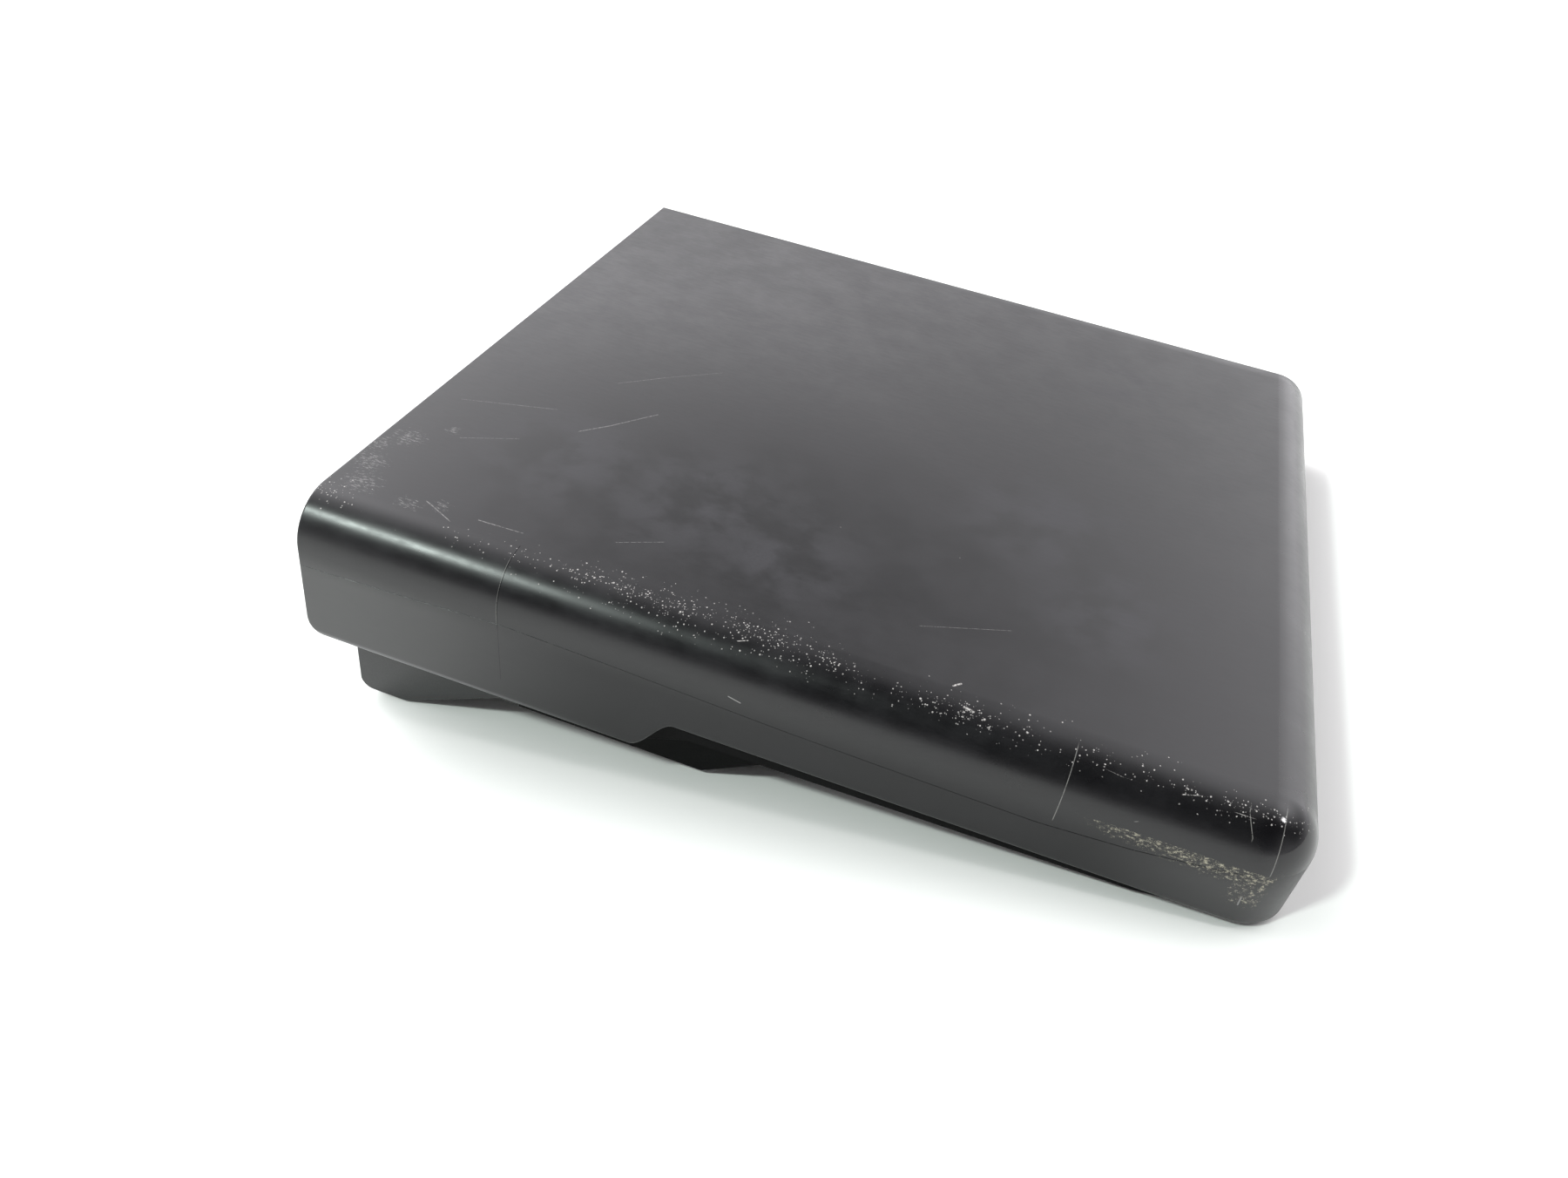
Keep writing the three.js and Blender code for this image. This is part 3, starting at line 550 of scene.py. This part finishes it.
def shell():
    bm = bmesh.new()
    xs = [0, 0.6, 1.4, 2.5, 4.0, 5.5, 8]
    xs += [8 + (STEP_A - 8) * i / 22 for i in range(1, 23)]
    xs += [STEP_A + (STEP_B - STEP_A) * i / 16 for i in range(1, 17)]
    xs += [STEP_B + (W - CORNER - STEP_B) * i / 34 for i in range(1, 35)]
    xs = sorted(set(round(v, 4) for v in xs))
    st = []                                            # stations: point, inward, depth, groove
    for x in xs:
        g = 0.0
        st.append(((x, 0.0), (0.0, 1.0), skirt_depth(x), part_z(x), g, 1.0 if x < 306 else 0.0))
    cx, cy = W - CORNER, CORNER
    for i in range(1, 25):
        a = math.radians(-90 + 90 * i / 24)
        st.append(((cx + CORNER * math.cos(a), cy + CORNER * math.sin(a)), (-math.cos(a), -math.sin(a)),
                   SKIRT_LOW, PART_LINE[-1][1], 0.0, 0.0))
    for i in range(1, 41):
        y = CORNER + (D - CORNER) * i / 40
        st.append(((W, y), (-1.0, 0.0), SKIRT_LOW, PART_LINE[-1][1], 0.0, 0.0))
    cols = []
    for (px, py), (nx, ny), h, pz, g, line in st:
        sec = [(FILLET + 0.9, 0.0, 0)]
        n = 14
        for j in range(n + 1):
            f = math.radians(90 - 90 * j / n)
            w = math.sin(math.radians(180 * min(1, j / (n * 0.5)) / 2))
            sec.append((FILLET * (1 - math.cos(f)) + g * math.cos(f) * w, -FILLET + FILLET * math.sin(f) - g * math.sin(f) * w, 1))
        zt = -FILLET
        z0 = pz + 0.14
        for s in (0.34, 0.67):
            sec.append((g, zt + (z0 - zt) * s, 1))
        d = 0.09 * line
        sec += [(g, z0, 1), (g + d, pz + 0.05, 1), (g + d, pz - 0.05, 1), (g, pz - 0.14, 1)]
        re = 1.7
        zb = -h + re
        for s in (0.25, 0.5, 0.75, 0.93):
            sec.append((g * (1 - s), (pz - 0.14) + (zb - pz + 0.14) * s, 1))
        for j in range(7):
            f = math.radians(90 * j / 6)
            sec.append((re * (1 - math.cos(f)), zb - re * math.sin(f), 1))
        sec.append((WALL - 0.4, -h, 1))
        sec.append((WALL, -h + 0.4, 1))
        for s in (0.3, 0.65):
            sec.append((WALL, -h + 0.4 + (h - 0.4 - FILLET) * s, 1))
        ri = FILLET - WALL
        for j in range(9):
            f = math.radians(90 * j / 8)
            sec.append((WALL + ri * (1 - math.cos(f)), -FILLET + ri * math.sin(f), 1))
        sec.append((FILLET + 0.9, -WALL, 1))
        cols.append([bm.verts.new((px + nx * i, py + ny * i, z)) for i, z, _ in sec])
    m = len(cols[0])
    for a, b in zip(cols, cols[1:]):
        for r in range(m - 1):
            try:
                bm.faces.new((a[r], a[r + 1], b[r + 1], b[r]))
            except ValueError:
                pass
    # flat top and its underside
    kt, ku = bm.verts.new((0, D, 0)), bm.verts.new((0, D, -WALL))
    bm.faces.new([c[0] for c in cols] + [kt])
    bm.faces.new([c[-1] for c in reversed(cols)] + [ku])
    # the two square ends
    bm.faces.new(list(cols[0]) + [ku, kt])
    bm.faces.new(list(reversed(cols[-1])) + [kt, ku])
    return bm


cover = make("worktop_cover", shell(), M_TOP, "deck", ["worktop_shell"], bevel=0.30, segs=2, angle=50, smooth=38)
for m in (M_FILLET, M_FACE):
    cover.data.materials.append(m)
BACK = TO_ROW.inverted()
for p in cover.data.polygons:
    c = BACK @ p.center
    p.material_index = 0 if c.z > -0.02 else 1 if c.z > -FILLET - 0.05 else 2


# ---- end caps, lips and underframe -----------------------------------------------------------------
GAP = 0.3


def cap_rear():
    bm = bmesh.new()
    y0, y1, z1, r = WALL + GAP, D - WALL - 2 * GAP, -WALL - GAP, FILLET - WALL
    pts = [(y0, -49.5), (y1, -49.5), (y1, z1)] + arc(y0 + r, z1 - r, r, 90, 180, 16)
    plate(bm, pts, [], GAP, GAP + WALL, "YZ", 0.4)
    return bm


def skirt_edge(n_step=20, n_end=8):
    e = arc(END_R, -SKIRT_DEEP + END_R, END_R, 180, 270, n_end)
    for i in range(n_step + 1):
        t = i / n_step
        e.append((STEP_A + (STEP_B - STEP_A) * t, -SKIRT_DEEP + (SKIRT_DEEP - SKIRT_LOW) * t * t * (3 - 2 * t)))
    return e


def cap_side():
    bm = bmesh.new()
    x1, z1, r, lift = W - WALL - GAP, -WALL - GAP, FILLET - WALL, 0.2
    edge = [(p[0] + GAP, p[1] + lift) for p in skirt_edge()]
    pts = edge + [(x1, -SKIRT_LOW + lift)] + arc(x1 - r, z1 - r, r, 0, 90, 16) + [(GAP, z1)]
    plate(bm, pts, [], D - WALL - GAP, D - GAP, "XZ", 0.4)
    return bm


make("rear_end_plate", cap_rear(), M_CAPS, "deck", ["rear_end_cap"])
make("side_end_plate", cap_side(), M_CAPS, "deck", ["side_end_cap"])

LIP = [(60, -54.2), (119.5, -54.2), (131, -49.8), (139, -46.6), (175, -45.9), (231, -45.1), (286, -44.0), (312, -40.0)]
for side, y0, y1 in (("left", WALL + 0.6, WALL + 2.8), ("right", D - WALL - 2.8, D - WALL - 0.6)):
    b = bmesh.new()
    plate(b, LIP + [(312, -17), (60, -17)], [], y0, y1, "XZ", 0.35)
    make(f"lip_{side}", b, M_BLACK_AND_SHADE, "deck", [f"inner_lip_{side}"])

b = bmesh.new()
hole_x = [60, 110, 190, 250]
plate(b, [(16.8, 3.7), (D - 3.8, 3.7), (D - 3.8, 312), (16.8, 312)], [], -5.0, -WALL - 0.4, "XZ", 0.2)
for v in b.verts:                                   # drawn in y,x and laid flat
    v.co = Vector((v.co.z, v.co.x, v.co.y))
make("underframe_sheet", b, M_DARK, "deck", ["underframe_panel"])

RAIL_Y0, RAIL_Y1, RAIL_T, RAIL_H = 13.0, 23.0, 1.6, 14.4


def rail(zc, mirrored, x1):
    h, t = RAIL_H / 2, RAIL_T
    p = [(RAIL_Y0, zc - h), (RAIL_Y1, zc - h), (RAIL_Y1, zc - h + t), (RAIL_Y0 + t, zc - h + t),
         (RAIL_Y0 + t, zc + h - t), (RAIL_Y1, zc + h - t), (RAIL_Y1, zc + h), (RAIL_Y0, zc + h)]
    rr = [1.3, 0.3, 0.3, 0.5, 0.5, 0.3, 0.3, 1.3]
    p = round_poly(p, rr, 3)
    if mirrored:
        p = [(D - a, c) for a, c in p]
    bm = bmesh.new()
    plate(bm, p, [], 115, x1, "YZ", 0.12)
    return bm


for side, mir in (("left", False), ("right", True)):
    make(f"deck_rail_{side}", rail(TOP_Z, mir, 309), M_STEEL, "deck", [f"top_rail_{side}"])
    make(f"tray_rail_{side}", rail(LOW_Z, mir, 304.2), M_STEEL, "base", [f"base_rail_{side}"])


# ---- brackets, axles, clips -------------------------------------------------------------------------
def side_y(side, y0, y1):
    return (y0, y1) if side == "left" else (D - y1, D - y0)


EAR_DECK = [(18, -5.3), (20, -14)] + arc(PIVOT_X, TOP_Z, 7.2, 200, 340, 20) + [(44, -14), (46, -5.3)]
EAR_BASE = ([(15, -79.9), (29.4, -79.9), (46, -71.9), (46, -58), (40.5, -36)]
            + arc(PIVOT_X, LOW_Z, 8, 0, 150, 20) + [(18, -50)])
for side in ("left", "right"):
    y0, y1 = side_y(side, 18, 21)
    b = bmesh.new()
    plate(b, EAR_DECK, [circle(PIVOT_X, TOP_Z, 4.2)], y0, y1, "XZ", 0.25)
    make(f"deck_ear_{side}", b, M_STEEL, "deck", [f"deck_bracket_{side}"])
    b = bmesh.new()
    plate(b, EAR_BASE, [circle(PIVOT_X, LOW_Z, 4.2), round_poly([(21, -74), (29, -74), (38, -69), (34, -52), (24, -56)], 3)],
          y0, y1, "XZ", 0.25)
    make(f"base_ear_{side}", b, M_STEEL, "base", [f"rear_bracket_{side}"])
    c0, c1 = side_y(side, 15.8, 17.2)
    for tag, z, body in (("upper", TOP_Z, "deck"), ("lower", LOW_Z, "base")):
        b = bmesh.new()
        ring(b, PIVOT_X, z, 4.2, 6.6, c0, c1, 0.25)
        make(f"{tag}_clip_{side}", b, M_DARK, body, [f"{tag}_axle_clip_{side}"])
for tag, z, body in (("upper", TOP_Z, "deck"), ("lower", LOW_Z, "base")):
    b = bmesh.new()
    shaft(b, PIVOT_X, z, 4.0, 14.6, D - 14.6)
    make(f"{tag}_axle", b, M_STEEL, body, [f"{tag}_rear_axle"])


# ---- base -----------------------------------------------------------------------------------------
UNDER = [(29.6, -82.7), (67.1, -64.8), (144, -64.8), (168, -50.0), (BASE_X1, -42.3)]


def offset(pts, d):
    seg = []
    for (x0, y0), (x1, y1) in zip(pts, pts[1:]):
        l = math.hypot(x1 - x0, y1 - y0)
        u = ((x1 - x0) / l, (y1 - y0) / l)
        seg.append(((x0 - d * u[1], y0 + d * u[0]), u, l))
    out = [seg[0][0]]
    for (p, u, _), (q, v, _) in zip(seg, seg[1:]):
        den = u[0] * v[1] - u[1] * v[0]
        if abs(den) < 1e-6:
            out.append(q)
            continue
        t = ((q[0] - p[0]) * v[1] - (q[1] - p[1]) * v[0]) / den
        out.append((p[0] + t * u[0], p[1] + t * u[1]))
    p, u, l = seg[-1]
    out.append((p[0] + u[0] * l, p[1] + u[1] * l))
    return out


def base_line(heel=10):
    pts = [(BASE_X0, BASE_TOP)] + arc(16.3, -77.7, 5, 190, 270, heel)
    soft = [(20, -82.7)] + UNDER + [(BASE_X1, BASE_TOP)]
    # ease the bevels of the underside a little
    out = []
    for i, p in enumerate(soft):
        if i in (0, len(soft) - 1):
            out.append(p)
            continue
        a, m, c = Vector(soft[i - 1]), Vector(p), Vector(soft[i + 1])
        r = 0.8
        p0 = m + (a - m).normalized() * r
        p1 = m + (c - m).normalized() * r
        for k in range(4):
            t = k / 3
            out.append(tuple(p0 * (1 - t) ** 2 + m * 2 * t * (1 - t) + p1 * t * t))
    return pts + out[1:] if pts[-1][0] >= 16.3 else pts


def clip_line(line, inner, xa, xb):
    """Both lines between two x positions, with cut points added."""
    def cut(ln):
        out = []
        for (x0, z0), (x1, z1) in zip(ln, ln[1:]):
            for xc in (xa, xb):
                pass
            out.append((x0, z0))
            for xc in sorted((xa, xb)):
                if min(x0, x1) < xc < max(x0, x1) and x1 > x0:
                    out.append((xc, z0 + (z1 - z0) * (xc - x0) / (x1 - x0)))
        out.append(ln[-1])
        return [p for p in out if xa - 1e-6 <= p[0] <= xb + 1e-6]
    return cut(line), cut(inner)


def tray(xa, xb, wall=2.0, holes=()):
    """Open tray: the underside line pushed across, with side walls."""
    line = base_line()
    inner = offset(line, wall)
    o, i = clip_line(line, inner, xa, xb)
    bm = bmesh.new()
    yA, yB = SIDE, D - SIDE
    # section outline of floor band, end walls included
    rear, front = xa <= BASE_X0, xb >= BASE_X1
    top = BASE_TOP
    o = [(p[0], min(p[1], top)) for p in o]
    i = [(p[0], min(p[1], top)) for p in i]
    band = o + list(reversed(i))
    # side walls: solid outline from the underside up to the top edge
    wall_out = o + ([(xb, top)] if not front else []) + ([(xa, top)] if not rear else [])
    for ya, yb in ((yA, yA + wall), (yB - wall, yB)):
        plate(bm, wall_out, [], ya, yb, "XZ", 0.0)
    plate(bm, band, [], yA + wall, yB - wall, "XZ", 0.0)
    return bm


def joined_tray(name, xa, xb, mat, replaces, cutters=()):
    """Joins floor and walls into one closed skin, then rounds its edges."""
    line = base_line()
    inner = offset(line, 2.0)
    rear, front = xa <= BASE_X0, xb >= BASE_X1

    def solid(pts, y0, y1):
        bm = bmesh.new()
        plate(bm, pts, [], y0, y1, "XZ", 0.0)
        bmesh.ops.recalc_face_normals(bm, faces=bm.faces)
        me = bpy.data.meshes.new("tmp")
        bm.to_mesh(me)
        bm.free()
        ob = bpy.data.objects.new("tmp", me)
        bpy.context.scene.collection.objects.link(ob)
        return ob
    o, i = clip_line(line, inner, xa, xb)
    out_pts = o + ([(xb, BASE_TOP)] if not front else []) + ([(xa, BASE_TOP)] if not rear else [])
    body = solid(out_pts, SIDE, D - SIDE)
    up = [(p[0], p[1]) for p in i]
    x_lo = max(xa - 5, i[0][0]) if rear else xa - 5
    x_hi = min(xb + 5, i[-1][0]) if front else xb + 5
    if not rear:
        up = [(x_lo, up[0][1])] + up
    if not front:
        up = up + [(x_hi, up[-1][1])]
    up = [(p[0], min(p[1], BASE_TOP + 4)) for p in up]
    up += [(up[-1][0], BASE_TOP + 8), (up[0][0], BASE_TOP + 8)]
    cut = solid(up, SIDE + 2.0, D - SIDE - 2.0)
    tools = [cut]
    for c in cutters:
        bm = bmesh.new()
        if c[0] == "y":
            shaft(bm, c[1], c[2], c[3], c[4], c[5], 0.01, 32)
        else:
            shaft(bm, 0, 0, c[3], -12, 12, 0.01, 24)
            for v in bm.verts:
                v.co = Vector((v.co.x + c[1], v.co.z + c[2], v.co.y + c[4]))
        bmesh.ops.recalc_face_normals(bm, faces=bm.faces)
        me = bpy.data.meshes.new("tmp")
        bm.to_mesh(me)
        bm.free()
        ob = bpy.data.objects.new("tmp", me)
        bpy.context.scene.collection.objects.link(ob)
        tools.append(ob)
    for t in tools:
        md = body.modifiers.new("cut", "BOOLEAN")
        md.operation, md.object, md.solver = "DIFFERENCE", t, "EXACT"
    dg = bpy.context.evaluated_depsgraph_get()
    me = bpy.data.meshes.new_from_object(body.evaluated_get(dg))
    for ob in tools + [body]:
        bpy.data.objects.remove(ob)
    bm = bmesh.new()
    bm.from_mesh(me)
    bmesh.ops.dissolve_limit(bm, angle_limit=math.radians(0.5), verts=bm.verts, edges=bm.edges)
    return make(name, bm, mat, "base", replaces, bevel=0.55, segs=3, angle=28, smooth=35)


LEVER = (58.0, -60.0)
joined_tray("rear_foot_moulding", BASE_X0, 75.0, M_FOOT, ["rear_foot"],
            [("y", LEVER[0], LEVER[1], 3.3, 285, 300), ("z", 72, 60, 1.9, -63), ("z", 72, D - 60, 1.9, -63)])
joined_tray("base_tray", 75.3, BASE_X1, M_BLACK_AND_SHADE, ["base_pan"],
            [("z", 86, 60, 1.9, -63), ("z", 86, D - 60, 1.9, -63)])

b = bmesh.new()
plate(b, [(20, 69.2), (D - 20, 69.2), (D - 20, 92), (20, 92)],
      [circle(y, x, 2.0, 24) for x in (72, 86) for y in (60, D - 60)], -62.1, -60.1, "XZ", 0.25)
for v in b.verts:
    v.co = Vector((v.co.z, v.co.x, v.co.y))
make("tray_joint_plate", b, M_STEEL, "base", ["base_joint_plate"])

k = 1
for x in (72, 86):
    for y in (60, D - 60):
        b = bmesh.new()
        prof = [(0, -64.4), (1.3, -64.4), (1.6, -64.1), (1.6, -59.8), (3.4, -59.8), (3.4, -59.3), (3.1, -58.5),
                (2.4, -58.0), (1.5, -57.75), (1.3, -57.75), (1.3, -58.9), (0, -58.9)]
        lathe_y(b, 0, 0, prof, 32)
        for v in b.verts:
            v.co = Vector((v.co.x + x, v.co.z + y, v.co.y))
        make(f"plate_screw_{k}", b, M_STEEL, "base", [f"joint_screw_{k}"])
        k += 1


def table_z(x):
    return TABLE_Z + math.tan(TILT) * x


def under_z(x):
    return -50.0 + 7.7 * (x - 168) / (BASE_X1 - 168)


for side in ("left", "right"):
    y0, y1 = side_y(side, 26, 66)
    b = bmesh.new()
    plate(b, [(16.8, table_z(16.8)), (28.8, table_z(28.8)), (28.8, -82.95), (16.8, -82.95)], [], y0, y1, "XZ", 0.15)
    make(f"rear_pad_{side}", b, M_RUBBER, "base", [f"rubber_foot_rear_{side}"])
    y0, y1 = side_y(side, 26, 50)
    b = bmesh.new()
    plate(b, [(276, table_z(276)), (300, table_z(300)), (300, under_z(300) - GAP), (276, under_z(276) - GAP)], [], y0, y1, "XZ", 0.3)
    make(f"front_pad_{side}", b, M_RUBBER, "base", [f"rubber_foot_front_{side}"])


# ---- springs ----------------------------------------------------------------------------------------
def coil(x, z, r, wire, y0, y1, turns, step=30, sides=12):
    bm = bmesh.new()
    n = int(turns * step)
    pts = [(x + r * math.cos(2 * math.pi * turns * i / n), y0 + (y1 - y0) * i / n,
            z + r * math.sin(2 * math.pi * turns * i / n)) for i in range(n + 1)]
    sweep(bm, pts, wire, sides)
    return bm


make("lift_spring_left", coil(PIVOT_X, LOW_Z, 7.4, 1.2, 30.4, 45.6, 5), M_STEEL, "base", ["torsion_spring_left"])
make("lift_spring_right", coil(PIVOT_X, LOW_Z, 7.4, 1.2, D - 57.4, D - 42.2, 5), M_STEEL, "base", ["torsion_spring_right"])
make("return_spring", coil(LEVER[0], LEVER[1], 4.5, 0.7, D - 51.6, D - 38.6, 5), M_STEEL, "base", ["lever_spring"])
for side, y0, y1 in (("left", 47.8, 51.8), ("right", D - 63.6, D - 59.6)):
    b = bmesh.new()
    ring(b, PIVOT_X, LOW_Z, 4.2, 9.0, y0, y1, 0.5)
    make(f"anchor_{side}", b, M_DARK, "base", [f"spring_anchor_{side}"])


# ---- scissor ------------------------------------------------------------------------------------------
def arm(p, q, holes, y0, y1):
    a = math.degrees(math.atan2(q[1] - p[1], q[0] - p[0]))
    r = 6.4
    pts = arc(p[0], p[1], r, a + 90, a + 270, 24) + arc(q[0], q[1], r, a - 90, a + 90, 24)
    bm = bmesh.new()
    plate(bm, pts, holes, y0, y1, "XZ", 0.35)
    return bm


LR, TR, TF, LF = (PIVOT_X, LOW_Z), (PIVOT_X, TOP_Z), (FRONT_X, TOP_Z), (FRONT_X, LOW_Z)
for side in ("left", "right"):
    y0, y1 = side_y(side, 25, 28)
    make(f"outer_bar_{side}", arm(LR, TF, [circle(*LR, 4.2), circle(*MID, 3.2), circle(*TF, 4.2)], y0, y1), M_DARK,
         "outer_arms", [f"outer_arm_{side}"])
    y0, y1 = side_y(side, 30, 33)
    make(f"inner_bar_{side}", arm(TR, LF, [circle(*TR, 4.2), circle(*MID, 3.2), circle(*LF, 4.2)], y0, y1), M_DARK,
         "inner_arms", [f"inner_arm_{side}"])
    prof = [(0, 23.5), (4.2, 23.5), (5, 24.0), (5, 24.6), (3, 24.6), (3, 33.4), (5, 33.4), (5, 34.2), (4.2, 34.7), (0, 34.7)]
    if side == "right":
        prof = [(r, D - y) for r, y in prof]
    b = bmesh.new()
    lathe_y(b, MID[0], MID[1], prof, 40)
    make(f"cross_pin_{side}", b, M_STEEL, "outer_arms", [f"crossing_pin_{side}"])


def on_arm(s, sign):
    return MID[0] + s * math.cos(THETA0), MID[1] + sign * s * math.sin(THETA0)


for name, node, p, inset, body in (
        ("outer_tube_rear", "outer_spreader_rear", on_arm(-90, 1), 28.3, "outer_arms"),
        ("outer_tube_front", "outer_spreader_front", on_arm(90, 1), 28.3, "outer_arms"),
        ("inner_tube_rear", "inner_spreader_rear", on_arm(-55, -1), 33.3, "inner_arms"),
        ("inner_tube_front", "inner_spreader_front", on_arm(55, -1), 33.3, "inner_arms")):
    b = bmesh.new()
    shaft(b, p[0], p[1], 4.5, inset, D - inset, 0.4)
    make(name, b, M_DARK, body, [node])

for tag, z in (("upper", TOP_Z), ("lower", LOW_Z)):
    b = bmesh.new()
    shaft(b, FRONT_X, z, 4.0, 15.2, D - 15.2)
    make(f"{tag}_slide_shaft", b, M_STEEL, f"{tag}_glide", [f"{tag}_glide_shaft"])
    for side in ("left", "right"):
        y0, y1 = side_y(side, 15.0, 22.6)
        b = bmesh.new()
        plate(b, round_poly([(FRONT_X - 8, z - 5.3), (FRONT_X + 8, z - 5.3), (FRONT_X + 8, z + 5.3), (FRONT_X - 8, z + 5.3)], 1.4),
              [circle(FRONT_X, z, 4.2)], y0, y1, "XZ", 0.4)
        make(f"{tag}_slider_{side}", b, M_NYLON, f"{tag}_glide", [f"{tag}_glide_{side}"])


# ---- brake and lever --------------------------------------------------------------------------------------
b = bmesh.new()
lathe_y(b, PIVOT_X, LOW_Z, [(4.2, D - 38.4), (8, D - 38.4), (8.6, D - 37.6), (11.2, D - 37.6), (11.8, D - 38.4), (12.6, D - 38.4),
                            (13, D - 38.0), (13, D - 28.8), (12.6, D - 28.4), (4.2, D - 28.4)], 64, closed=True)
make("drum", b, M_DARK, "outer_arms", ["brake_drum"])
b = bmesh.new()
plate(b, arc(PIVOT_X, LOW_Z, 17.3, 230, 290, 20) + arc(PIVOT_X, LOW_Z, 13.4, 290, 230, 20), [], D - 38, D - 29, "XZ", 0.3)
make("shoe", b, M_LINING, "release", ["brake_shoe"])
b = bmesh.new()
plate(b, round_poly([(20, -51.2), (20, -55), (52, -64.9), (61.5, -64.9), (63.4, -60), (61.8, -55.4), (44, -51.2)],
                    [1, 1.5, 3, 3, 3, 3, 3]), [circle(*LEVER, 3.15)], D - 36.5, D - 32, "XZ", 0.3)
make("shoe_arm", b, M_STEEL, "release", ["brake_arm"])
b = bmesh.new()
shaft(b, LEVER[0], LEVER[1], 3.0, D - 58, D - 2.4, 0.5)
make("lever_pivot_shaft", b, M_STEEL, "release", ["lever_shaft"])


def lever():
    bm = bmesh.new()
    out = round_poly([(17, -69.5), (36, -69.5), (37.5, -64.4), (55.5, -65.2), (63.2, -63.5), (63.2, -56.5), (55.5, -54.8),
                      (37.5, -56.2), (36, -55.8), (17, -55.8)], [3, 3, 3, 3, 4.5, 4.5, 3, 2, 1, 3], 5)
    plate(bm, out, [circle(*LEVER, 3.15)], D - 9.3, D - 3.9, "XZ", 0.8)
    return bm


make("hand_lever", lever(), M_FOOT, "release", ["release_lever"])
b = bmesh.new()
plate(b, round_poly([(51, -69.3), (65, -62.7), (65, -54), (51, -54)], [0.5, 0.5, 2, 2]), [circle(*LEVER, 3.2)], D - 57, D - 53, "XZ", 0.3)
make("shaft_bearing", b, M_STEEL, "base", ["lever_bearing"])


# ---- floor and light ------------------------------------------------------------------------------------------
me = bpy.data.meshes.new("floor")
bm = bmesh.new()
s = 30.0
for v in ((-s, -s, 0), (s, -s, 0), (s, s, 0), (-s, s, 0)):
    bm.verts.new(v)
bm.verts.ensure_lookup_table()
bm.faces.new(bm.verts)
bm.to_mesh(me)
bm.free()
floor = bpy.data.objects.new("floor", me)
bpy.context.scene.collection.objects.link(floor)
fm = bpy.data.materials.new("floor_white")
fm.use_nodes = True
fb = fm.node_tree.nodes["Principled BSDF"]
fb.inputs["Base Color"].default_value = (0.94, 0.945, 0.92, 1)
fb.inputs["Roughness"].default_value = 0.6
fb.inputs["Specular IOR Level"].default_value = 0.25
me.materials.append(fm)


def area(name, direction, dist, size, power, colour, spread=None):
    d = Vector(direction).normalized()
    li = bpy.data.lights.new(name, "AREA")
    li.shape = "RECTANGLE"
    li.size, li.size_y = size
    li.energy, li.color = power, colour
    if spread:
        li.spread = math.radians(spread)
    ob = bpy.data.objects.new(name, li)
    bpy.context.scene.collection.objects.link(ob)
    ob.location = d * dist + Vector((0, 0, 0.04))
    ob.rotation_mode = "QUATERNION"
    ob.rotation_quaternion = d.to_track_quat("Z", "Y")
    return ob


area("key_front_left", (-22, -32, 42), 2.4, (0.22, 0.22), 26.0, (0.87, 0.985, 0.935))
area("right_window", (0.68, -0.095, 0.72), 2.2, (0.26, 0.26), 6.0, (1.0, 0.98, 1.0))

world = bpy.data.worlds.new("world")
bpy.context.scene.world = world
world.use_nodes = True
wt = world.node_tree
bg = wt.nodes["Background"]
tc = wt.nodes.new("ShaderNodeTexCoord")


def wmath(op, a, b):
    n = wt.nodes.new("ShaderNodeMath")
    n.operation = op
    for v, s in ((a, n.inputs[0]), (b, n.inputs[1])):
        if isinstance(v, bpy.types.NodeSocket):
            wt.links.new(v, s)
        else:
            s.default_value = v
    return n.outputs[0]


# the room: soft bright openings behind and to the left, nothing bright on the photographer's side.
# azimuth 0 is straight behind the object, positive to its low end; then elevation and brightness
ROOM = ((-120, 8, 1.0), (-90, 8, 1.7), (-60, 8, 3.2), (-30, 8, 0.95), (0, 8, 0.95), (30, 8, 1.5), (60, 8, 0.9),
        (-120, 28, 0.8), (-90, 28, 2.5), (-60, 28, 3.6), (30, 28, 1.6), (-90, 48, 0.9), (-60, 48, 4.0),
        (-30, 48, 0.2), (30, 48, 0.3), (60, 48, 2.9), (0, 68, 0.28), (125, 14, 0.5))
glow = None
for az, el, power in ROOM:
    az, el = math.radians(az), math.radians(el)
    dot = wt.nodes.new("ShaderNodeVectorMath")
    dot.operation = "DOT_PRODUCT"
    wt.links.new(tc.outputs["Generated"], dot.inputs[0])
    dot.inputs[1].default_value = (math.sin(az) * math.cos(el), math.cos(az) * math.cos(el), math.sin(el))
    lobe = wmath("EXPONENT", wmath("MULTIPLY", wmath("SUBTRACT", dot.outputs["Value"], 1.0), 16.0), 0.0)
    lobe = wmath("MULTIPLY", lobe, power)
    glow = lobe if glow is None else wmath("ADD", glow, lobe)
sep = wt.nodes.new("ShaderNodeSeparateXYZ")
wt.links.new(tc.outputs["Generated"], sep.inputs[0])
low = wmath("MULTIPLY", sep.outputs[2], 5.0)          # pale walls all round, low down
low = wmath("EXPONENT", wmath("MULTIPLY", wmath("MULTIPLY", low, low), -1.0), 0.0)
glow = wmath("ADD", glow, wmath("MULTIPLY", low, 0.60))
bg.inputs[0].default_value = (0.98, 0.97, 1.0, 1)
wt.links.new(glow, bg.inputs[1])

vs = bpy.context.scene.view_settings
vs.view_transform = "Standard"
vs.look = "None"
vs.exposure = 0.0
vs.gamma = 1.0
